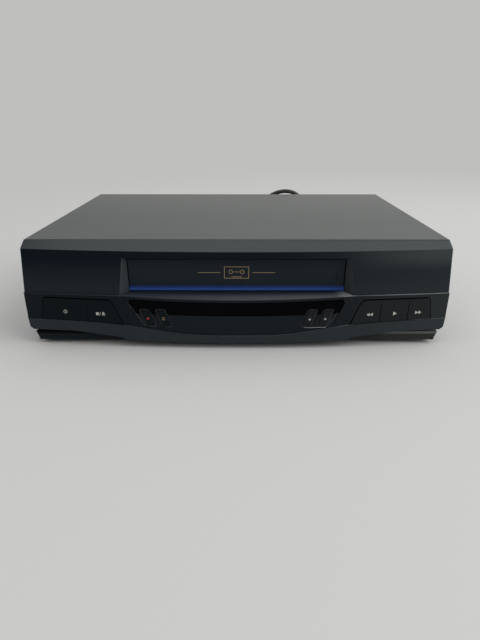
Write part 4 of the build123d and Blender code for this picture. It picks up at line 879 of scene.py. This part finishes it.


# printed marks: thin solid ink shapes, in millimetres, that lie on the part under them;
# some of them are painted highlights and painted shadows
inkSetup = {
    "proud": 0.06, "sunk": 0.12,
    # over a narrow gap the nearest face beside it counts
    "aside": ((0, 0), (0.4, 0), (-0.4, 0), (0, 0.5), (0, -0.5), (0.8, 0), (-0.8, 0), (0, 1.0),
              (0, -1.0), (1.5, 1.5), (-1.5, -1.5)),
}


class Surface:
    # Finds where the front of some pieces is at x, z, or their rear with a way of -1
    def __init__(self, names, way):
        graph = bpy.context.evaluated_depsgraph_get()
        self.trees = [BVHTree.FromObject(nodes[name], graph) for name in names]
        self.way = way

    def depth(self, x, z):
        for aside, up in inkSetup["aside"]:
            start = Vector(((x + aside) * 0.001, -0.3 * self.way, (z + up) * 0.001))
            hits = [tree.ray_cast(start, Vector((0, self.way, 0)))[0] for tree in self.trees]
            found = [hit.y * 1000 * self.way for hit in hits if hit]
            if found:
                return min(found) * self.way


def ringOutline(x, z, radius, width, start, end, steps=24):
    angles = [math.radians(start + (end - start) * step / steps) for step in range(steps + 1)]
    outside = [(x + math.cos(a) * radius, z + math.sin(a) * radius) for a in angles]
    inner = radius - width
    inside = [(x + math.cos(a) * inner, z + math.sin(a) * inner) for a in angles]
    return [list(quad) for quad in zip(outside, outside[1:], inside[1:], inside)]


def barOutline(x, z, width, height, pieces=1):
    left, step = x - width / 2, width / pieces
    return [[(left + step * n, z - height / 2), (left + step * (n + 1), z - height / 2),
             (left + step * (n + 1), z + height / 2), (left + step * n, z + height / 2)]
            for n in range(pieces)]


def arrowOutline(x, z, size, way):
    # way is the direction that the arrow points in
    def corner(along, across):
        return (x + (way[0] * along - way[1] * across) * size,
                z + (way[1] * along + way[0] * across) * size)

    return [[corner(1, 0), corner(-0.7, 1), corner(-0.7, -1)]]


def dotOutline(x, z, radius, steps=20):
    angles = [math.tau * step / steps for step in range(steps)]
    return [[(x + math.cos(a) * radius, z + math.sin(a) * radius) for a in angles]]


def frameOutline(x, z, width, height, line):
    return (barOutline(x, z + height / 2 - line / 2, width, line)
            + barOutline(x, z - height / 2 + line / 2, width, line)
            + barOutline(x - width / 2 + line / 2, z, line, height - 2 * line)
            + barOutline(x + width / 2 - line / 2, z, line, height - 2 * line))


def lineOutline(points, width, step=6.0):
    # A line of even width along points, mitred at its corners and cut into short steps
    path = [Vector(points[0])]
    for target in points[1:]:
        start, end = path[-1], Vector(target)
        count = max(1, math.ceil((end - start).length / step))
        path += [start.lerp(end, (n + 1) / count) for n in range(count)]
    sides = []
    for number, here in enumerate(path):
        before, after = path[max(number - 1, 0)], path[min(number + 1, len(path) - 1)]
        first = (here - before).normalized() if number else (after - here).normalized()
        last = (after - here).normalized() if number < len(path) - 1 else first
        across = (first + last).orthogonal().normalized()
        reach = width / 2 / abs(across.dot(first.orthogonal()))
        sides.append((here + across * reach, here - across * reach))
    return [[tuple(part) for part in (a[0], b[0], b[1], a[1])] for a, b in zip(sides, sides[1:])]


def roundedPath(width, height, corner, steps):
    # points of an oblong as the middle of a corner and the way out from it
    return [(across * (width / 2 - corner), up * (height / 2 - corner),
             math.cos(math.radians(turn + 90 * step / steps)),
             math.sin(math.radians(turn + 90 * step / steps)))
            for across, up, turn in ((1, 1, 0), (-1, 1, 90), (-1, -1, 180), (1, -1, 270))
            for step in range(steps + 1)]


def roundedBar(x, z, width, height, corner):
    return [[(x + a + c * corner, z + b + d * corner)
             for a, b, c, d in roundedPath(width, height, corner, 4)]]


def leaningOutline(x, z, side, width, height, lean, corner, line):
    # A closed line round an upright oblong whose top leans outwards
    path = roundedPath(width, height, corner, 5)
    outside, inside = ([(x + a + c * radius + side * (b + d * radius) * lean, z + b + d * radius)
                        for a, b, c, d in path] for radius in (corner, corner - line))
    return [[outside[n - 1], outside[n], inside[n], inside[n - 1]] for n in range(len(path))]


def printMark(name, outlines, node, body, colour, slot, way=1):
    surface = Surface(node.split(), way)
    shape = bmesh.new()
    for outline in outlines:
        verts = [shape.verts.new((x, surface.depth(x, z) - inkSetup["proud"] * way, z))
                 for x, z in outline]
        shape.faces.new(verts)
    bmesh.ops.remove_doubles(shape, verts=shape.verts, dist=0.001)
    grown = bmesh.ops.extrude_face_region(shape, geom=list(shape.faces), use_keep_orig=True)["geom"]
    bmesh.ops.translate(shape, vec=(0, (inkSetup["proud"] + inkSetup["sunk"]) * way, 0),
                        verts=[part for part in grown if isinstance(part, bmesh.types.BMVert)])
    finishPiece(shape, name, slot, body=body, finish=ink[colour])


# generic signs on the buttons: name, ink and outlines
buttonMarks = {
    "power_button": ("powerMark", "cream", ringOutline(-153.3, 33.2, 1.7, 0.42, 125, 415)
                     + barOutline(-153.3, 34.2, 0.42, 2.2)),
    "stop_eject_button": ("stopEjectMark", "cream", barOutline(-124.0, 32.1, 2.6, 2.6)
                          + arrowOutline(-118.6, 32.7, 1.5, (0, 1))
                          + barOutline(-118.6, 30.9, 3.0, 0.5)
                          + [[(-122.3, 30.4), (-121.9, 30.4), (-120.7, 33.8), (-121.1, 33.8)]]),
    "rewind_button": ("rewindMark", "cream", arrowOutline(117.4, 31.6, 1.6, (-1, 0))
                      + arrowOutline(120.3, 31.6, 1.6, (-1, 0))),
    "play_button": ("playMark", "cream", arrowOutline(141.3, 32.0, 1.9, (1, 0))),
    "fast_forward_button": ("fastForwardMark", "cream", arrowOutline(161.4, 32.3, 1.6, (1, 0))
                            + arrowOutline(164.3, 32.3, 1.6, (1, 0))),
    "record_button": ("recordMark", "red", dotOutline(-78.6, 29.0, 1.15)),
    "source_button": ("sourceMark", "gold", barOutline(-64.8, 29.9, 2.6, 0.5)
                      + barOutline(-64.8, 28.1, 2.6, 0.5)),
    "channel_down_button": ("channelDownMark", "pale", arrowOutline(64.9, 28.2, 1.15, (0, -1))),
    "channel_up_button": ("channelUpMark", "pale", arrowOutline(78.8, 28.8, 1.15, (0, 1))),
}
for button, (name, colour, outlines) in buttonMarks.items():
    printMark(name, outlines, button, button, colour, "button_plastic")

# a cassette between two thin lines on the door, and a tick near its right end
doorMarks = {
    "frame": frameOutline(0, 66.8, 22, 11, 0.5),
    "reels": ringOutline(-5, 67.4, 1.9, 0.5, 0, 360) + ringOutline(5, 67.4, 1.9, 0.5, 0, 360),
    "bars": barOutline(0, 62.9, 9, 0.5, 2) + barOutline(0, 67.4, 5.2, 0.45, 2),
    "lines": barOutline(-24.2, 66.8, 20, 0.45, 5) + barOutline(24.2, 66.8, 20, 0.45, 5),
}
printMark("doorMark", sum(doorMarks.values(), []), "cassette_door", "door", "gold", "door_plastic")
printMark("doorTick", barOutline(89.0, 64.6, 0.45, 10.5), "cassette_door", "door", "dark",
          "door_plastic")

# rims round the four leaning keys, and the field's two slanting ends: painted highlights
# standing in for the shine on their edges
rimSetup = {
    "keys": ((-1, -78.8), (-1, -64.6), (1, 64.6), (1, 78.8)),      # side and x
    "level": 28.9, "size": (9.2, 16.8), "lean": 0.364, "corner": 2.4, "line": 0.32,
    "ends": ([(-96.1, 43.2), (-80.9, 20.4)], [(90.0, 34.1), (80.9, 20.4)]), "endLine": 0.3,
}
rimLines = []
for end in rimSetup["ends"]:
    rimLines += lineOutline(end, rimSetup["endLine"])
for side, x in rimSetup["keys"]:
    rimLines += leaningOutline(x, rimSetup["level"], side, *rimSetup["size"], rimSetup["lean"],
                               rimSetup["corner"], rimSetup["line"])
printMark("buttonRimHighlights", rimLines, "centre_trim display_window lower_front", "case", "rim",
          "front_plastic")

# shadowed joints round the two groups of buttons, between the buttons and round the door,
# and a painted shadow above each group
jointSetup = {
    "group": [(101.4, 21.9), (109.4, 42.2), (113.2, 45.1), (170.2, 45.8), (172.0, 45.0),
              (172.9, 43.2), (176.0, 25.4)],
    "above": [(111.9, 44.6), (113.5, 45.4), (170.0, 46.0)],
    "under": (176.0, 158, 140, 124, 112, 101.4),
    "splits": {-133.3: 0.4, 128.3: 0.6, 153.5: 0.6},     # x and width
    "splitTop": 45.4,
    "door": [(-96.0, 50.2), (-96.0, 80.6), (96.0, 80.6), (96.0, 50.2)],
    "bracket": [(60.7, 21.0), (60.9, 19.9), (79.8, 19.9), (80.2, 21.0)],
    "widths": {"group": 0.6, "above": 1.1, "under": 0.36, "door": 0.95, "bracket": 0.3},
}


def bandLine(x):
    dip = bandCurve["dip"] / (1 + (x * 0.001 / bandCurve["reach"]) ** 4)
    return (bandCurve["ends"] - dip) * 1000


def drawJoints(setup):
    widths = setup["widths"]
    joints, shadows = [], []
    for side in (-1, 1):
        joints += lineOutline([(side * x, z) for x, z in setup["group"]], widths["group"])
        # painted shadow along the top of each group
        shadows += lineOutline([(side * x, z) for x, z in setup["above"]], widths["above"])
        joints += lineOutline([(side * x, bandLine(x)) for x in setup["under"]], widths["under"])
    for x, width in setup["splits"].items():
        joints += lineOutline([(x, setup["splitTop"]), (x, bandLine(x) + 0.3)], width)
    printMark("buttonJoints", joints, "lower_front power_button stop_eject_button rewind_button "
              "play_button fast_forward_button", "case", "dark", "front_plastic")
    printMark("buttonShadows", shadows, "lower_front", "case", "dark", "front_plastic")
    printMark("doorJoint", lineOutline(setup["door"], widths["door"]), "cassette_door upper_front",
              "door", "dark", "door_plastic")
    printMark("channelBracket", lineOutline(setup["bracket"], widths["bracket"]),
              "centre_trim lower_front", "case", "pale", "front_plastic")


drawJoints(jointSetup)

# rear panel: painted dark bars for the ventilation slots, painted shade in place of openings,
# a dark field behind the aerial sockets, a bare rating plate
rearSetup = {
    "slots": {"from": -38.0, "pitch": 5.2, "count": 10, "middle": 52.0, "size": (2.2, 24.0),
              "corner": 1.09},
    "field": (-153.5, 34.0, 27.0, 47.0, 2.5),      # x, z, width, height, corner
    "plate": (-120.0, 74.0, 50.0, 16.0, 1.5),
}


def dressRear(setup):
    slots = setup["slots"]
    bars = []
    for number in range(slots["count"]):
        bars += roundedBar(slots["from"] + number * slots["pitch"], slots["middle"],
                           *slots["size"], slots["corner"])
    for name, outlines, colour in (("ventSlotShade", bars, "dark"),
                                   ("aerialField", roundedBar(*setup["field"]), "black"),
                                   ("ratingPlate", roundedBar(*setup["plate"]), "plate")):
        printMark(name, outlines, "rear_panel", "case", colour, "plated_steel", -1)


dressRear(rearSetup)
print("marks printed")


# every solid from the frame gets its finish
finishOf = {row["node"]: finishes[row["material_slot"]] for row in frame["record"]["subparts"]}
finishOf["loading_belt"] = finishes["belt_rubber"]
for name, node in nodes.items():
    if not node.data.materials:
        node.data.materials.append(None)
    for slot in node.material_slots:
        slot.link = "OBJECT"
        slot.material = finishOf[name]
print("finishes assigned")


# floor, world and lamp
studio = {
    "backdrop": (0.520, 0.523, 0.508),
    "floor": (0.670, 0.670, 0.660),
    "floorSize": 40.0,
    "fade": (0.45, 1.7),           # metres from the part over which the floor becomes the backdrop
    "dome": (0.07, 0.36, 0.86),    # soft light from in front, from the sides and from overhead
    "room": (0.04, 0.64),          # what gloss picks up from the dim side and from the bright side
    "bright": (0.8, 0.35, 0.9),    # the bright side lies right, back and up
    "key": {"place": (2.1, -0.55, 1.45), "aim": (0.0, 0, 0.04), "size": 3.2, "power": 38.0},
}


def roomColour(tree, way, setup):
    # The plain backdrop, dimmer in reflections from in front and to the left
    low, high = setup["room"]
    right, back, up = (way.part(axis) * share for axis, share in enumerate(setup["bright"]))
    side = (right + back + up).between(-0.45, 0.95)
    shine = side.tint((low, low * 1.05, low * 1.15), (high, high, high * 0.98))
    seen = tree.node("ShaderNodeLightPath", {}, {}, "Is Camera Ray")
    return seen.tint(shine, setup["backdrop"])


def makeFloor(setup):
    shape = bmesh.new()
    bmesh.ops.create_grid(shape, x_segments=8, y_segments=8, size=setup["floorSize"] / 2)
    floor = placeShape(shape, "floor", 1.0)
    material, tree, place = startFinish("floorPaper")
    distance = place.node("ShaderNodeVectorMath", {"operation": "LENGTH"}, {0: place}, 1)
    grain = place.grain(300, 3)
    paper = grain.tint([part * 0.99 for part in setup["floor"]], setup["floor"])
    bump = tree.node("ShaderNodeBump", {}, {"Strength": 0.2, "Distance": 0.0001, "Height": grain})
    near = tree.node("ShaderNodeBsdfDiffuse", {}, {"Color": paper, "Normal": bump})
    way = place.node("ShaderNodeVectorMath", {"operation": "NORMALIZE"}, {0: place})
    far = tree.node("ShaderNodeEmission", {}, {"Color": roomColour(tree, way, setup)})
    blend = distance.between(*setup["fade"])
    mixed = tree.node("ShaderNodeMixShader", {}, {0: blend, 1: near, 2: far})
    tree.node("ShaderNodeOutputMaterial", {}, {"Surface": mixed})
    floor.data.materials.append(material)


def makeWorld(setup):
    world = bpy.data.worlds.new("studio")
    bpy.context.scene.world = world
    world.use_nodes = True
    world.node_tree.nodes.clear()
    tree = Wire(world.node_tree)
    way = tree.node("ShaderNodeTexCoord", {}, {}, "Generated")
    height = way.part(2).between(0.0, 1.0)
    front, side, top = setup["dome"]
    aside = tree.maths("ABSOLUTE", way.part(0)).between(0.2, 0.95)
    horizon = aside.tint((front * 0.9, front, front * 1.15), (side, side, side))
    dome = height.tint(horizon, (top, top, top))
    seen = [tree.node("ShaderNodeLightPath", {}, {}, kind)
            for kind in ("Is Camera Ray", "Is Glossy Ray", "Is Transmission Ray")]
    direct = tree.maths("MAXIMUM", tree.maths("MAXIMUM", seen[0], seen[1]), seen[2])
    colour = direct.tint(dome, roomColour(tree, way, setup))
    background = tree.node("ShaderNodeBackground", {}, {"Color": colour})
    tree.node("ShaderNodeOutputWorld", {}, {"Surface": background})


def makeLamp(name, setup):
    lamp = bpy.data.lights.new(name, "AREA")
    lamp.shape = "DISK"
    lamp.size = setup["size"]
    lamp.energy = setup["power"]
    lampObject = bpy.data.objects.new(name, lamp)
    ray = Vector(setup["aim"]) - Vector(setup["place"])
    turn = ray.to_track_quat("-Z", "Y").to_matrix().to_4x4()
    lampObject.matrix_world = Matrix.Translation(setup["place"]) @ turn
    bpy.context.collection.objects.link(lampObject)


makeFloor(studio)
makeWorld(studio)
makeLamp("keyLamp", studio["key"])
bpy.context.scene.view_settings.view_transform = "Standard"
print("studio lit")
